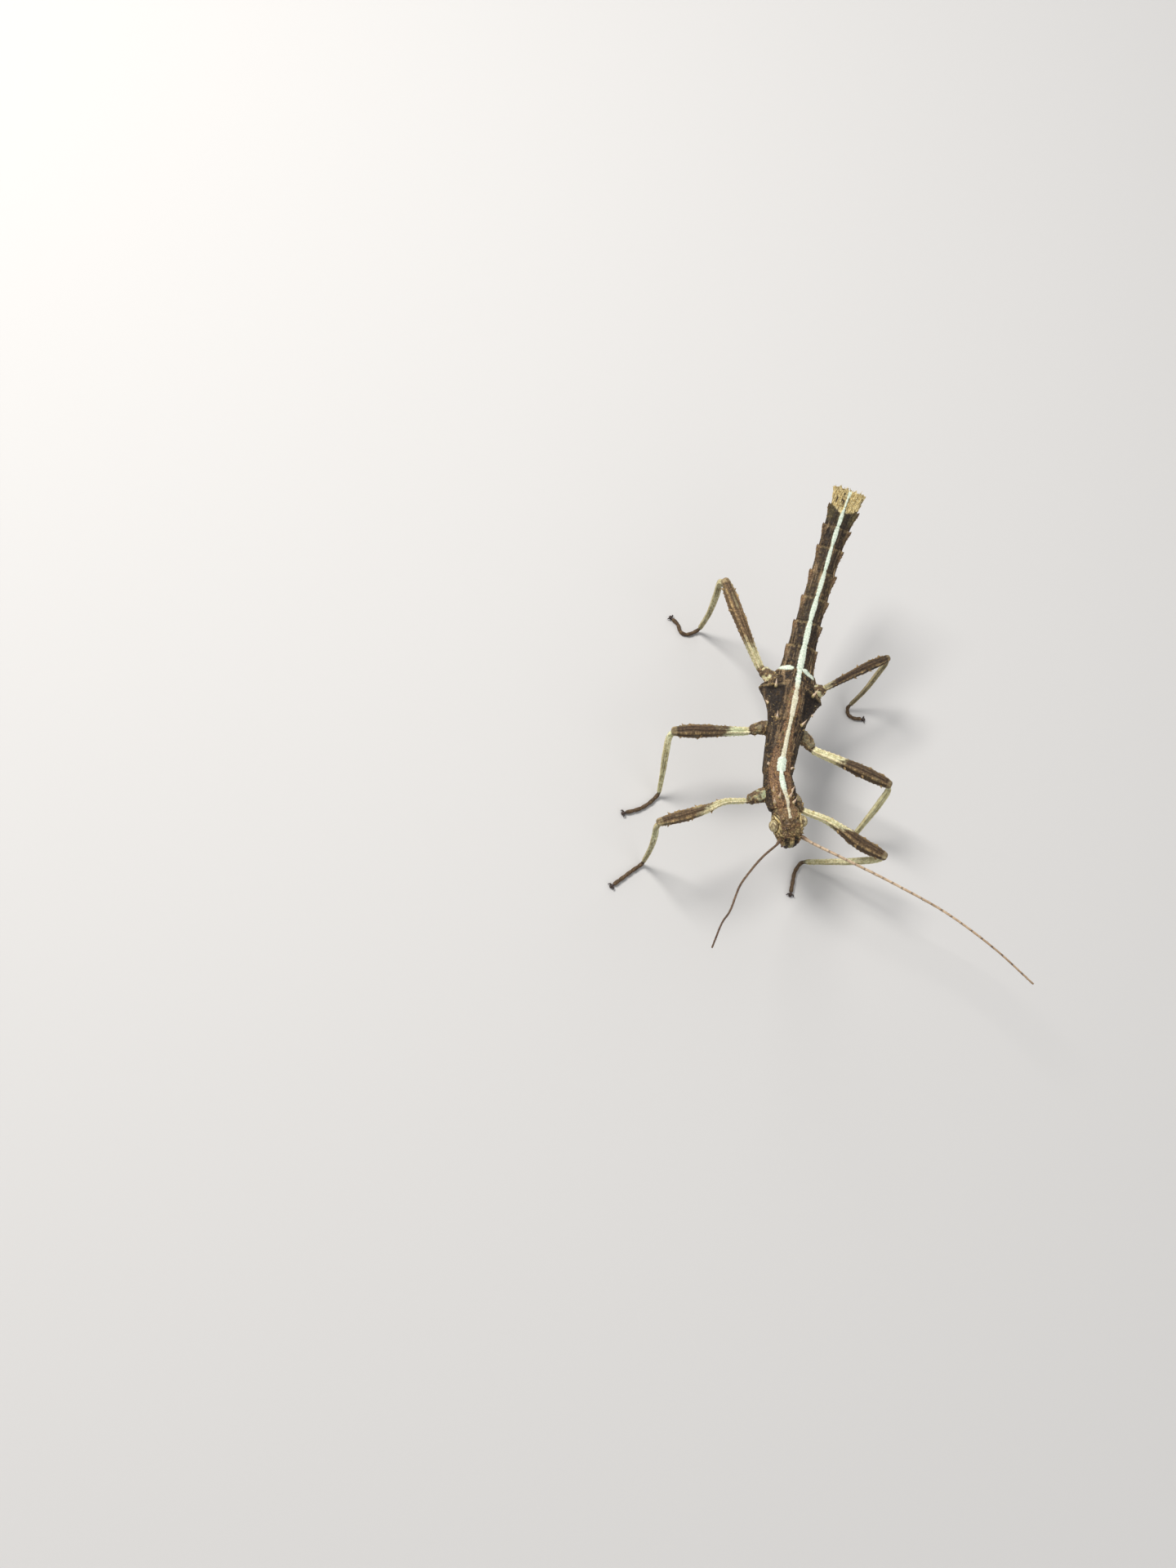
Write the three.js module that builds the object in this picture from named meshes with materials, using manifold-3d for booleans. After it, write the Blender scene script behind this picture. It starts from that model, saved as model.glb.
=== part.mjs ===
// A spiny stick insect, a well grown nymph at life size, standing with its feelers spread.
// Millimetres, +Z up. The animal faces -Y, its left side is +X and its soles lie on z = 0.
// The chitin shell is divided where an entomologist names its parts, with thin cuts between them.

import * as THREE from 'three';
import { mergeVertices } from 'three/addons/utils/BufferGeometryUtils.js';
import Module from 'manifold-3d';

const wasm = await Module();
wasm.setup();

// ---------------------------------------------------------------- driving dimensions

// Middle of the floor box that the whole animal fills, seen from above, from the thorax's own axis.
const FLOOR_CENTRE = { x: 8.086, y: -3.887 };

// Width of the cut between one length of the shell and the next.
const CUT = 0.14;

// Depth that a piece seated on the shell is held clear of it.
const SEAT_GAP = 0.1;

// Highest line of the back, from the neck to the tip of the tail.
const RIDGE = [
  [0.8, -11.5, 12.2],
  [0.2, -9.5, 12.4],
  [-0.53, -7.1, 12.4],
  [-0.64, -3.6, 12.78],
  [-0.54, 0, 12.9],
  [-0.44, 3.8, 12.75],
  [-0.44, 7.2, 12.6],
  [-0.49, 13.4, 13.9],
  [-0.28, 19.7, 16.0],
  [-0.15, 24.8, 18.05],
  [0.15, 29.5, 20.5],
];

// Lengths of the body behind the head. Each list runs from the length's front to its rear:
// half width, rise of the ridge above the widest line, and depth of the belly below it.
const SEGMENTS = [
  {
    name: 'prothorax', length: 4.6,
    half: [1.75, 2.0, 2.05, 1.95, 1.8], rise: [1.2, 1.35, 1.4, 1.35, 1.3], depth: [1.5, 1.8, 1.8, 1.7, 1.6],
  },
  {
    name: 'mesothorax', length: 7.15,
    half: [1.95, 2.0, 2.1, 2.15, 2.35, 2.4], rise: [1.4, 1.5, 1.6, 1.8, 2.0, 1.8],
    depth: [1.6, 1.7, 1.9, 2.0, 2.1, 2.2],
  },
  {
    name: 'metathorax', length: 5.1,
    half: [2.45, 2.65, 3.05, 3.65, 4.2], rise: [1.8, 1.9, 2.1, 2.5, 2.9],
    depth: [2.2, 2.15, 2.0, 1.8, 1.6],
  },
  {
    name: 'median_segment', length: 2.05,
    half: [4.1, 3.2, 2.6], rise: [2.7, 2.0, 1.5], depth: [1.7, 2.0, 2.1],
  },
  {
    name: 'abdomen_2', length: 3.3,
    half: [2.3, 2.05, 2.02], rise: [1.4, 1.3, 1.3], depth: [2.0, 1.9, 1.85],
  },
  {
    name: 'abdomen_3', length: 3.2,
    half: [1.85, 1.75, 1.87], rise: [1.2, 1.1, 1.1], depth: [1.8, 1.75, 1.75],
  },
  {
    name: 'abdomen_4', length: 3.25,
    half: [1.65, 1.62, 1.78], rise: [0.95, 0.9, 0.9], depth: [1.75, 1.7, 1.7],
  },
  {
    name: 'abdomen_5', length: 3.45,
    half: [1.6, 1.58, 1.76], rise: [0.8, 0.75, 0.75], depth: [1.7, 1.65, 1.65],
  },
  {
    name: 'abdomen_6', length: 3.25,
    half: [1.55, 1.56, 1.74], rise: [0.7, 0.65, 0.65], depth: [1.65, 1.6, 1.6],
  },
  {
    name: 'abdomen_7', length: 2.65,
    half: [1.57, 1.62, 1.85], rise: [0.6, 0.58, 0.58], depth: [1.6, 1.6, 1.6],
  },
  {
    name: 'abdomen_8', length: 2.5,
    half: [1.68, 1.78, 2.02], rise: [0.55, 0.5, 0.5], depth: [1.5, 1.4, 1.3],
  },
  {
    name: 'abdomen_9', length: 2.3,
    half: [1.78, 1.9, 2.15], rise: [0.45, 0.4, 0.35], depth: [1.2, 1.0, 0.7],
  },
];

// How the shell is rounded: 2 is an ellipse, less is a roof with a sharp ridge, more is a box.
const BACK_ROUNDING = 1.45;
const BELLY_ROUNDING = 2.3;

// The head: where its neck meets the prothorax, how it is turned, and its own lengths from the
// neck to the lip, each with the distance forward, half width, rise and depth.
const HEAD = {
  at: [1.08, -11.75, 11.15],
  yaw: 26,
  pitch: 20,
  stations: [
    { forward: -0.3, half: 1.5, rise: 0.95, depth: 1.1 },
    { forward: 0.2, half: 1.75, rise: 1.15, depth: 1.35 },
    { forward: 0.85, half: 1.92, rise: 1.38, depth: 1.5 },
    { forward: 1.55, half: 1.98, rise: 1.42, depth: 1.55 },
    { forward: 2.35, half: 1.8, rise: 1.3, depth: 1.5 },
    { forward: 3.1, half: 1.55, rise: 1.05, depth: 1.3 },
    { forward: 3.75, half: 1.2, rise: 0.7, depth: 1.05 },
    { forward: 4.1, half: 0.85, rise: 0.4, depth: 0.75 },
  ],
  rounding: 2.1,
};
const EYE = { side: 1.85, forward: 1.4, up: 0.35, radii: [0.62, 0.74, 0.68] };
const SCAPE_ROOT = { side: 1.2, forward: 3.0, up: 0.4 };
const SCAPE_RADIUS = 0.36;
const FEELER_RADIUS = 0.26;

// The two feelers, from the end of the scape to the tip.
const FEELERS = {
  left: {
    scape: [4.75, -14.45, 10.75],
    thread: [[5.0, -14.55, 10.8], [8.6, -15.4, 11.0], [15.6, -16.85, 10.9], [22.6, -18.8, 11.0],
      [28.6, -21.9, 11.8], [33.2, -25.4, 13.0]],
  },
  right: {
    scape: [0.75, -16.15, 10.75],
    thread: [[0.55, -16.4, 10.95], [-1.22, -19.08, 13.3], [-3.81, -23.85, 18.0], [-5.05, -26.5, 20.7],
      [-6.7, -31.33, 25.5], [-8.1, -34.2, 29.0], [-9.3, -38.0, 32.0]],
  },
};
const FEELER_LENGTHS = 3;
const SCAPE_TIP_RADIUS = 0.3;

// Lip and palps, in the head's own frame.
const LIP = { at: [0, -3.95, -0.55], radii: [0.62, 0.5, 0.62] };
const PALP = {
  line: [[0.45, -3.7, -0.8], [0.78, -4.15, -1.15], [0.62, -4.3, -1.6]], radii: [0.2, 0.19, 0.15],
};

// The six legs. girth: how stout the femur and the tibia are. coxa: from inside the body to the
// hip. femur: from the hip to the knee. shin: the tibia, to the ankle. foot: the tarsus along the
// floor, to the claws.
const LEGS = {
  front_right: {
    girth: 0.95,
    coxa: [[-1.0, -9.6, 10.3], [-1.9, -10.0, 10.25], [-3.3, -11.0, 10.2]],
    femur: [[-3.5, -11.15, 10.2], [-6.36, -12.38, 10.7], [-8.17, -13.95, 11.1], [-9.95, -15.21, 11.3],
      [-13.72, -17.6, 11.5]],
    shin: [[-13.75, -17.85, 10.8], [-13.35, -17.9, 8.2], [-12.95, -18.15, 4.4], [-12.93, -18.6, 0.75]],
    foot: [[-12.98, -18.75, 0.42], [-14.01, -19.97, 0.25], [-15.01, -21.24, 0.25], [-15.85, -22.3, 0.27]],
  },
  middle_right: {
    girth: 1.05,
    coxa: [[-1.9, -0.6, 10.0], [-3.2, -0.85, 9.9], [-4.5, -1.5, 9.7]],
    femur: [[-4.75, -1.65, 9.65], [-7.9, -2.75, 9.85], [-11.0, -3.75, 9.95], [-13.98, -4.7, 9.95]],
    shin: [[-14.2, -5.0, 9.2], [-13.95, -6.2, 7.0], [-13.35, -7.5, 3.9], [-12.8, -8.95, 0.75]],
    foot: [[-12.85, -9.12, 0.42], [-13.78, -10.6, 0.25], [-14.82, -11.65, 0.25], [-16.3, -12.55, 0.27]],
  },
  hind_right: {
    girth: 1.05,
    coxa: [[-2.2, 5.6, 10.5], [-3.4, 6.1, 10.4], [-4.6, 6.8, 10.3]],
    femur: [[-4.85, 7.0, 10.3], [-7.4, 10.3, 11.05], [-9.75, 13.7, 11.65], [-11.84, 17.0, 12.0]],
    shin: [[-12.2, 17.15, 11.2], [-12.0, 16.8, 8.6], [-11.8, 16.35, 4.6], [-12.02, 16.05, 0.75]],
    foot: [[-12.25, 15.85, 0.42], [-13.52, 14.95, 0.25], [-14.38, 15.13, 0.25], [-14.93, 16.1, 0.25],
      [-15.75, 16.65, 0.27]],
  },
  front_left: {
    girth: 1.05,
    coxa: [[1.3, -9.3, 10.3], [2.0, -9.5, 10.3], [3.05, -10.25, 10.25]],
    femur: [[3.3, -10.4, 10.2], [6.78, -10.76, 10.0], [9.14, -11.39, 9.6], [11.54, -12.11, 9.1],
      [14.87, -12.7, 8.65]],
    shin: [[14.6, -12.75, 7.85], [12.6, -12.8, 5.3], [9.9, -12.8, 2.9], [7.25, -12.8, 0.75]],
    foot: [[6.95, -12.95, 0.42], [6.42, -14.2, 0.25], [6.34, -15.71, 0.25], [6.31, -17.05, 0.27]],
  },
  middle_left: {
    girth: 1,
    coxa: [[1.5, -0.6, 10.0], [2.6, -0.95, 9.9], [3.3, -1.55, 9.75]],
    femur: [[3.5, -1.72, 9.7], [6.9, -2.4, 9.95], [10.4, -3.1, 10.15], [13.76, -3.81, 10.2]],
    shin: [[13.95, -4.1, 9.45], [13.8, -5.2, 7.2], [13.45, -6.4, 4.1], [13.1, -7.55, 0.75]],
    foot: [[13.2, -7.72, 0.42], [14.35, -7.85, 0.25], [15.5, -8.05, 0.25], [16.7, -8.3, 0.27]],
  },
  hind_left: {
    girth: 0.85,
    coxa: [[1.7, 5.5, 10.5], [2.7, 6.0, 10.35], [3.45, 6.65, 10.05]],
    femur: [[3.62, 6.85, 9.98], [6.2, 9.35, 9.95], [8.9, 11.95, 9.85], [11.52, 14.3, 9.5]],
    shin: [[11.68, 14.25, 8.75], [11.45, 13.5, 6.5], [10.95, 12.3, 3.6], [10.0, 11.0, 0.75]],
    foot: [[9.95, 10.85, 0.42], [10.2, 10.0, 0.25], [11.05, 9.68, 0.25], [12.0, 9.85, 0.27]],
  },
};

// Half widths across and half heights of a leg's lengths, from its body end to its far end.
const COXA_SHAPE = { across: [1.1, 0.92, 0.62], height: [1.05, 0.9, 0.62] };
const FEMUR_SHAPE = {
  across: [0.52, 0.58, 0.66, 0.8, 0.84, 0.56], height: [0.5, 0.6, 0.7, 0.8, 0.8, 0.58],
};
// The front thighs are slender where they reach past the head.
const FRONT_FEMUR_SHAPE = {
  across: [0.4, 0.43, 0.54, 0.78, 0.84, 0.56], height: [0.42, 0.46, 0.56, 0.76, 0.8, 0.58],
};
const SHIN_SHAPE = { across: [0.42, 0.43, 0.39, 0.35, 0.32], height: [0.45, 0.46, 0.41, 0.36, 0.33] };
const FOOT_RADIUS = { waist: 0.23, bulge: 0.28 };
const FOOT_JOINTS = 5;

// A claw leaves the pad sideways, bends down at its bend and ends at its point.
const PAD_RADII = [0.26, 0.3, 0.2];
const CLAW = {
  bendAside: 0.375, bendHeight: 0.42, pointAside: 0.22, pointAhead: 0.12, pointHeight: 0.14,
  radii: [0.13, 0.11, 0.05],
};
// Stretch at the end of the foot that the claws are kept clear of.
const ANKLE_CLEARANCE = { from: 0.9, radius: 0.3 };

// Teeth along a femur: where along it, how far round from its top, and their length.
const FEMUR_TEETH = [
  { along: 0.34, round: 80, length: 0.26 },
  { along: 0.46, round: -85, length: 0.3 },
  { along: 0.58, round: 95, length: 0.34 },
  { along: 0.68, round: -75, length: 0.34 },
  { along: 0.78, round: 180, length: 0.3 },
  { along: 0.88, round: 75, length: 0.32 },
  { along: 0.92, round: -100, length: 0.3 },
];

// Pairs of spines on the thorax: which length, how far along it, how far round from the ridge
// as a share of the way to the widest line, and their length.
const SPINE_RADIUS = 0.22;
const SPINE_LEAN_BACK = 0.2;
const THORAX_SPINES = [
  { name: 'prothorax', along: 0.14, round: 0.5, length: 0.9 },
  { name: 'prothorax', along: 0.27, round: 0.22, length: 1.1 },
  { name: 'prothorax', along: 0.46, round: 0.45, length: 0.75 },
  { name: 'mesothorax', along: 0.12, round: 0.66, length: 0.35 },
  { name: 'mesothorax', along: 0.97, round: 0.54, length: 1.15 },
  { name: 'metathorax', along: 0.45, round: 0.97, length: 0.4 },
  { name: 'metathorax', along: 0.9, round: 0.5, length: 1.1 },
  { name: 'median_segment', along: 0.25, round: 0.95, length: 0.55 },
];
const HEAD_SPINES = [
  { forward: 0.75, round: 0.3, length: 0.6 },
  { forward: 1.15, round: 0.52, length: 0.5 },
  { forward: 2.3, round: 0.28, length: 0.42 },
];
const HEAD_SPINE = { radius: 0.2, leanBack: 0.2 };
const ABDOMEN_TOOTH = { along: 0.85, round: 0.98, length: 0.4 };
const TOOTH_RADIUS = 0.2;
const TOOTH_LEAN_BACK = 2.2;
const FEMUR_TOOTH = { radius: 0.19, leanOut: 0.3 };

// Blunt lobes in a row across the end of the tail: how far aside of its middle, and their length.
const TAIL_LOBE = { seat: 0.93, lift: 0.1, fan: 0.25, radius: 0.4 };
const TAIL_LOBES = [
  { side: -1.6, length: 0.8 },
  { side: -0.8, length: 0.9 },
  { side: 0.05, length: 0.7 },
  { side: 0.85, length: 0.85 },
  { side: 1.6, length: 0.7 },
];

// Number of flat sides round each kind of piece.
const SIDES = { body: 14, head: 14, leg: 8, foot: 6, feeler: 6, spine: 4 };
const BALL_SIDES = { eye: [14, 10], lip: [10, 8], pad: [8, 6] };

// Chamfer at both ends of a limb: its length and the size of its end face, as shares of the limb's
// own half height and width.
const CHAMFER = { length: 0.35, size: 0.72 };

// How deep a spine's root is sunk, and how it leans from the ridge to the widest line.
const SPINE_SINK = 0.1;
const SPINE_LEAN = { power: 2.5, upLost: 0.75, asideAtRidge: 0.15, asideGained: 0.85 };

// ---------------------------------------------------------------- materials

function chitin(hex, roughness) {
  return new THREE.MeshStandardMaterial({ color: hex, roughness, metalness: 0 });
}

const MATERIALS = {
  shell: chitin(0x4a3526, 0.8),
  tail: chitin(0xb09a62, 0.85),
  eye: chitin(0xcfc193, 0.35),
  mouth: chitin(0x2b1c14, 0.5),
  femur: chitin(0x6b563a, 0.8),
  shin: chitin(0xa79a6c, 0.75),
  foot: chitin(0x3a2619, 0.7),
  claw: chitin(0x1e140e, 0.4),
  feeler: chitin(0xc2a780, 0.7),
};

// ---------------------------------------------------------------- helpers

// Value at share t of an evenly spaced list, on straight lines between its entries.
function sample(list, t) {
  const place = THREE.MathUtils.clamp(t, 0, 1) * (list.length - 1);
  const first = Math.min(Math.floor(place), list.length - 2);
  return THREE.MathUtils.lerp(list[first], list[first + 1], place - first);
}

// Signed power, for the rounded outline of a section.
function power(value, exponent) {
  return Math.sign(value) * Math.abs(value) ** exponent;
}

function toSolid(geometry) {
  const bare = geometry.clone();
  bare.deleteAttribute('normal');
  bare.deleteAttribute('uv');
  const merged = mergeVertices(bare);
  return new wasm.Manifold(new wasm.Mesh({
    numProp: 3,
    vertProperties: new Float32Array(merged.getAttribute('position').array),
    triVerts: new Uint32Array(merged.getIndex().array),
  }));
}

function toGeometry(solid) {
  const mesh = solid.getMesh();
  const geometry = new THREE.BufferGeometry();
  geometry.setAttribute('position', new THREE.BufferAttribute(mesh.vertProperties, 3));
  geometry.setIndex(new THREE.BufferAttribute(mesh.triVerts, 1));
  geometry.computeVertexNormals();
  return geometry;
}

function joined(solids) {
  return solids.reduce((whole, solid) => whole.add(solid));
}

// A closed tube through a list of rings. Each ring has a centre, a side and an up direction, and
// section(angle) gives the outline's offsets to the side and up, with angle 0 on top.
function loft(rings, sides) {
  const tube = new THREE.CylinderGeometry(1, 1, 1, sides, rings.length - 1);
  const position = tube.getAttribute('position');
  for (let i = 0; i < position.count; i += 1) {
    const ring = rings[Math.round((0.5 - position.getY(i)) * (rings.length - 1))];
    const [across, up] = ring.section(Math.atan2(position.getX(i), position.getZ(i)));
    const reach = Math.round(Math.hypot(position.getX(i), position.getZ(i)));
    const point = ring.centre.clone();
    point.addScaledVector(ring.side, across * reach);
    point.addScaledVector(ring.up, up * reach);
    position.setXYZ(i, point.x, point.y, point.z);
  }
  return tube;
}

// Ring frame at a place on a path, with its up direction as near to the wanted one as it can be.
function ringFrame(centre, along, wantedUp) {
  const up = wantedUp.clone().addScaledVector(along, -wantedUp.dot(along)).normalize();
  const side = new THREE.Vector3().crossVectors(up, along);
  return { centre, side, up };
}

function path(points) {
  return new THREE.CatmullRomCurve3(points.map((point) => new THREE.Vector3(...point)), false, 'centripetal');
}

// A tube with chamfered ends along a stretch of a path.
function limb({ curve, across, height, steps, sides, wantedUp, from = 0, to = 1, grow = 0 }) {
  const chamfer = CHAMFER.length * sample(height, 0.5) / (curve.getLength() * (to - from));
  const shares = [0, chamfer];
  for (let step = 1; step < steps; step += 1) {
    shares.push(step / steps);
  }
  shares.push(1 - chamfer, 1);
  const rings = shares.map((share, index) => {
    const t = from + (to - from) * share;
    const ring = ringFrame(curve.getPointAt(t), curve.getTangentAt(t), wantedUp);
    const end = index === 0 || index === shares.length - 1 ? CHAMFER.size : 1;
    const halfAcross = sample(across, share) * end + grow;
    const halfHeight = sample(height, share) * end + grow;
    ring.section = (angle) => [halfAcross * Math.sin(angle), halfHeight * Math.cos(angle)];
    return ring;
  });
  rings[0].centre.addScaledVector(curve.getTangentAt(from), -grow);
  rings[rings.length - 1].centre.addScaledVector(curve.getTangentAt(to), grow);
  return toSolid(loft(rings, sides));
}

// A pointed spine from a root just inside the shell, leaning along a direction.
function spine(root, direction, length, radius) {
  const sink = 0.5 * radius + SPINE_SINK;
  const cone = new THREE.ConeGeometry(radius, length + sink, SIDES.spine);
  cone.translate(0, 0.5 * (length + sink) - sink, 0);
  cone.applyQuaternion(new THREE.Quaternion().setFromUnitVectors(new THREE.Vector3(0, 1, 0), direction));
  cone.translate(root.x, root.y, root.z);
  return toSolid(cone);
}

function ellipsoid(centre, radii, sides) {
  const ball = new THREE.SphereGeometry(1, ...sides);
  ball.scale(...radii);
  ball.translate(...centre);
  return toSolid(ball);
}

// ---------------------------------------------------------------- body behind the head

const UP = new THREE.Vector3(0, 0, 1);
const ridgeLine = path(RIDGE);
const bodyLength = SEGMENTS.reduce((sum, segment) => sum + segment.length, 0);
const startOf = {};
SEGMENTS.reduce((sum, segment) => {
  startOf[segment.name] = sum;
  return sum + segment.length;
}, 0);

// Ring of the shell at a share of a segment's length, made larger all round by grow.
function bodyRing(segment, share, grow) {
  const t = THREE.MathUtils.clamp((startOf[segment.name] + segment.length * share) / bodyLength, 0, 1);
  const ring = ringFrame(ridgeLine.getPointAt(t), ridgeLine.getTangentAt(t), UP);
  const half = sample(segment.half, share) + grow;
  const rise = sample(segment.rise, share) + grow;
  const depth = sample(segment.depth, share) + grow;
  ring.centre.addScaledVector(ring.up, grow - rise);
  ring.section = (angle) => {
    const cosine = Math.cos(angle);
    const rounding = cosine > 0 ? BACK_ROUNDING : BELLY_ROUNDING;
    const reach = cosine > 0 ? rise : depth;
    return [half * power(Math.sin(angle), 2 / rounding), reach * power(cosine, 2 / rounding)];
  };
  return ring;
}

function shellGeometry(segment, grow = 0) {
  const stations = segment.half.length - 1;
  const edge = (0.5 * CUT - grow) / segment.length;
  const shares = segment.half.map((value, index) => index / stations);
  shares[0] = edge;
  shares[stations] = 1 - edge;
  return loft(shares.map((share) => bodyRing(segment, share, grow)), SIDES.body);
}

function bodyShell(segment, grow) {
  return toSolid(shellGeometry(segment, grow));
}

// Root and lean of a spine on a ring: round is 0 on the ridge and 1 on the widest line.
function seatOnRing(ring, round, hand, backward) {
  const angle = hand * round * 0.5 * Math.PI;
  const [across, up] = ring.section(angle);
  const root = ring.centre.clone().addScaledVector(ring.side, across).addScaledVector(ring.up, up);
  const turn = round ** SPINE_LEAN.power;
  const lean = ring.up.clone().multiplyScalar(1 - SPINE_LEAN.upLost * turn);
  lean.addScaledVector(ring.side, hand * (SPINE_LEAN.asideAtRidge + SPINE_LEAN.asideGained * turn));
  lean.add(backward);
  return { root, lean: lean.normalize() };
}

function bodySpines(segment) {
  const pairs = THORAX_SPINES.filter((entry) => entry.name === segment.name);
  const isAbdomen = segment.name.startsWith('abdomen');
  if (isAbdomen) {
    pairs.push(ABDOMEN_TOOTH);
  }
  return pairs.flatMap(({ along, round, length }) => [-1, 1].map((hand) => {
    const t = (startOf[segment.name] + segment.length * along) / bodyLength;
    const backward = ridgeLine.getTangentAt(t).multiplyScalar(isAbdomen ? TOOTH_LEAN_BACK : SPINE_LEAN_BACK);
    const { root, lean } = seatOnRing(bodyRing(segment, along, 0), round, hand, backward);
    return spine(root, lean, length, isAbdomen ? TOOTH_RADIUS : SPINE_RADIUS);
  }));
}

function tailLobes(segment) {
  const ring = bodyRing(segment, TAIL_LOBE.seat, 0);
  const along = ridgeLine.getTangentAt(1);
  return TAIL_LOBES.map(({ side, length }) => {
    const root = ring.centre.clone().addScaledVector(ring.side, side);
    root.addScaledVector(ring.up, TAIL_LOBE.lift);
    const lean = along.clone().addScaledVector(ring.side, TAIL_LOBE.fan * side).normalize();
    return spine(root, lean, length, TAIL_LOBE.radius);
  });
}

// ---------------------------------------------------------------- head

const headGroup = new THREE.Group();
headGroup.position.set(...HEAD.at);
headGroup.rotation.set(
  THREE.MathUtils.degToRad(HEAD.pitch), 0, THREE.MathUtils.degToRad(HEAD.yaw), 'ZXY',
);
headGroup.updateMatrixWorld();

// Everything below is in the head's own frame, with the neck at the origin and the lip towards -Y.
const FORWARD = new THREE.Vector3(0, -1, 0);

function headRing({ forward, half, rise, depth }, grow = 0) {
  const ring = ringFrame(new THREE.Vector3(0, -forward, 0), FORWARD, UP);
  ring.section = (angle) => {
    const reach = (Math.cos(angle) > 0 ? rise : depth) + grow;
    return [
      (half + grow) * power(Math.sin(angle), 2 / HEAD.rounding),
      reach * power(Math.cos(angle), 2 / HEAD.rounding),
    ];
  };
  return ring;
}

function headShell(grow = 0) {
  const rings = HEAD.stations.map((station) => headRing(station, grow));
  rings[rings.length - 1].centre.addScaledVector(FORWARD, grow);
  return toSolid(loft(rings, SIDES.head));
}

function headStationAt(forward) {
  const next = HEAD.stations.findIndex((station) => station.forward >= forward);
  const [before, after] = [HEAD.stations[next - 1], HEAD.stations[next]];
  const share = (forward - before.forward) / (after.forward - before.forward);
  return {
    forward,
    half: THREE.MathUtils.lerp(before.half, after.half, share),
    rise: THREE.MathUtils.lerp(before.rise, after.rise, share),
    depth: THREE.MathUtils.lerp(before.depth, after.depth, share),
  };
}

function headSpines() {
  const backward = new THREE.Vector3(0, HEAD_SPINE.leanBack, 0);
  return HEAD_SPINES.flatMap(({ forward, round, length }) => [-1, 1].map((hand) => {
    const { root, lean } = seatOnRing(headRing(headStationAt(forward)), round, hand, backward);
    return spine(root, lean, length, HEAD_SPINE.radius);
  }));
}

const headClearance = headShell(SEAT_GAP);

function eye(hand) {
  const centre = [hand * EYE.side, -EYE.forward, EYE.up];
  return ellipsoid(centre, EYE.radii, BALL_SIDES.eye).subtract(headClearance);
}

// Lip, jaws and the two pairs of palps under the front of the head.
function mouthparts() {
  const lip = ellipsoid(LIP.at, LIP.radii, BALL_SIDES.lip);
  const palps = [-1, 1].map((hand) => limb({
    curve: path(PALP.line.map(([aside, y, z]) => [hand * aside, y, z])),
    across: PALP.radii, height: PALP.radii,
    steps: 3, sides: SIDES.feeler, wantedUp: FORWARD,
  }));
  return joined([lip, ...palps]).subtract(headClearance);
}

// The scape is a thick first joint, from the front of the head to where the thread begins.
function scape(hand, end) {
  const root = new THREE.Vector3(hand * SCAPE_ROOT.side, -SCAPE_ROOT.forward, SCAPE_ROOT.up);
  const tip = headGroup.worldToLocal(new THREE.Vector3(...end));
  return limb({
    curve: new THREE.LineCurve3(root, tip),
    across: [SCAPE_RADIUS, SCAPE_RADIUS, SCAPE_TIP_RADIUS],
    height: [SCAPE_RADIUS, SCAPE_RADIUS, SCAPE_TIP_RADIUS],
    steps: 3, sides: SIDES.leg, wantedUp: UP,
  }).subtract(headClearance);
}

// ---------------------------------------------------------------- legs

const bodyClearance = joined(SEGMENTS.slice(0, 4).map((segment) => bodyShell(segment, SEAT_GAP + 0.5 * CUT)));

function femurTeeth(curve, hand, shape) {
  return FEMUR_TEETH.map(({ along, round, length }) => {
    const ring = ringFrame(curve.getPointAt(along), curve.getTangentAt(along), UP);
    const angle = THREE.MathUtils.degToRad(round * hand);
    const outward = ring.side.clone().multiplyScalar(Math.sin(angle));
    outward.addScaledVector(ring.up, Math.cos(angle));
    const reach = Math.hypot(
      Math.sin(angle) * sample(shape.across, along),
      Math.cos(angle) * sample(shape.height, along),
    );
    const root = ring.centre.clone().addScaledVector(outward, reach);
    const lean = outward.addScaledVector(curve.getTangentAt(along), FEMUR_TOOTH.leanOut).normalize();
    return spine(root, lean, length, FEMUR_TOOTH.radius);
  });
}

// A limb's shape, made stouter or more slender.
function stout({ across, height }, girth) {
  return { across: across.map((half) => half * girth), height: height.map((half) => half * girth) };
}

function femurShell(curve, shape, grow = 0) {
  return limb({
    curve, ...shape, steps: 5, sides: SIDES.leg, wantedUp: UP, grow,
  });
}

// Five short joints, each swelling towards its end, flat where they meet the floor.
function tarsus(curve) {
  const beads = [FOOT_RADIUS.waist];
  for (let joint = 0; joint < FOOT_JOINTS; joint += 1) {
    beads.push(FOOT_RADIUS.bulge, FOOT_RADIUS.waist);
  }
  const whole = limb({
    curve, across: beads, height: beads, steps: 2 * FOOT_JOINTS, sides: SIDES.foot, wantedUp: UP,
  });
  return whole.subtract(underFloor(curve.getPointAt(0.5)));
}

function underFloor(centre) {
  const block = new THREE.BoxGeometry(20, 20, 4);
  block.translate(centre.x, centre.y, -2);
  return toSolid(block);
}

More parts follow.
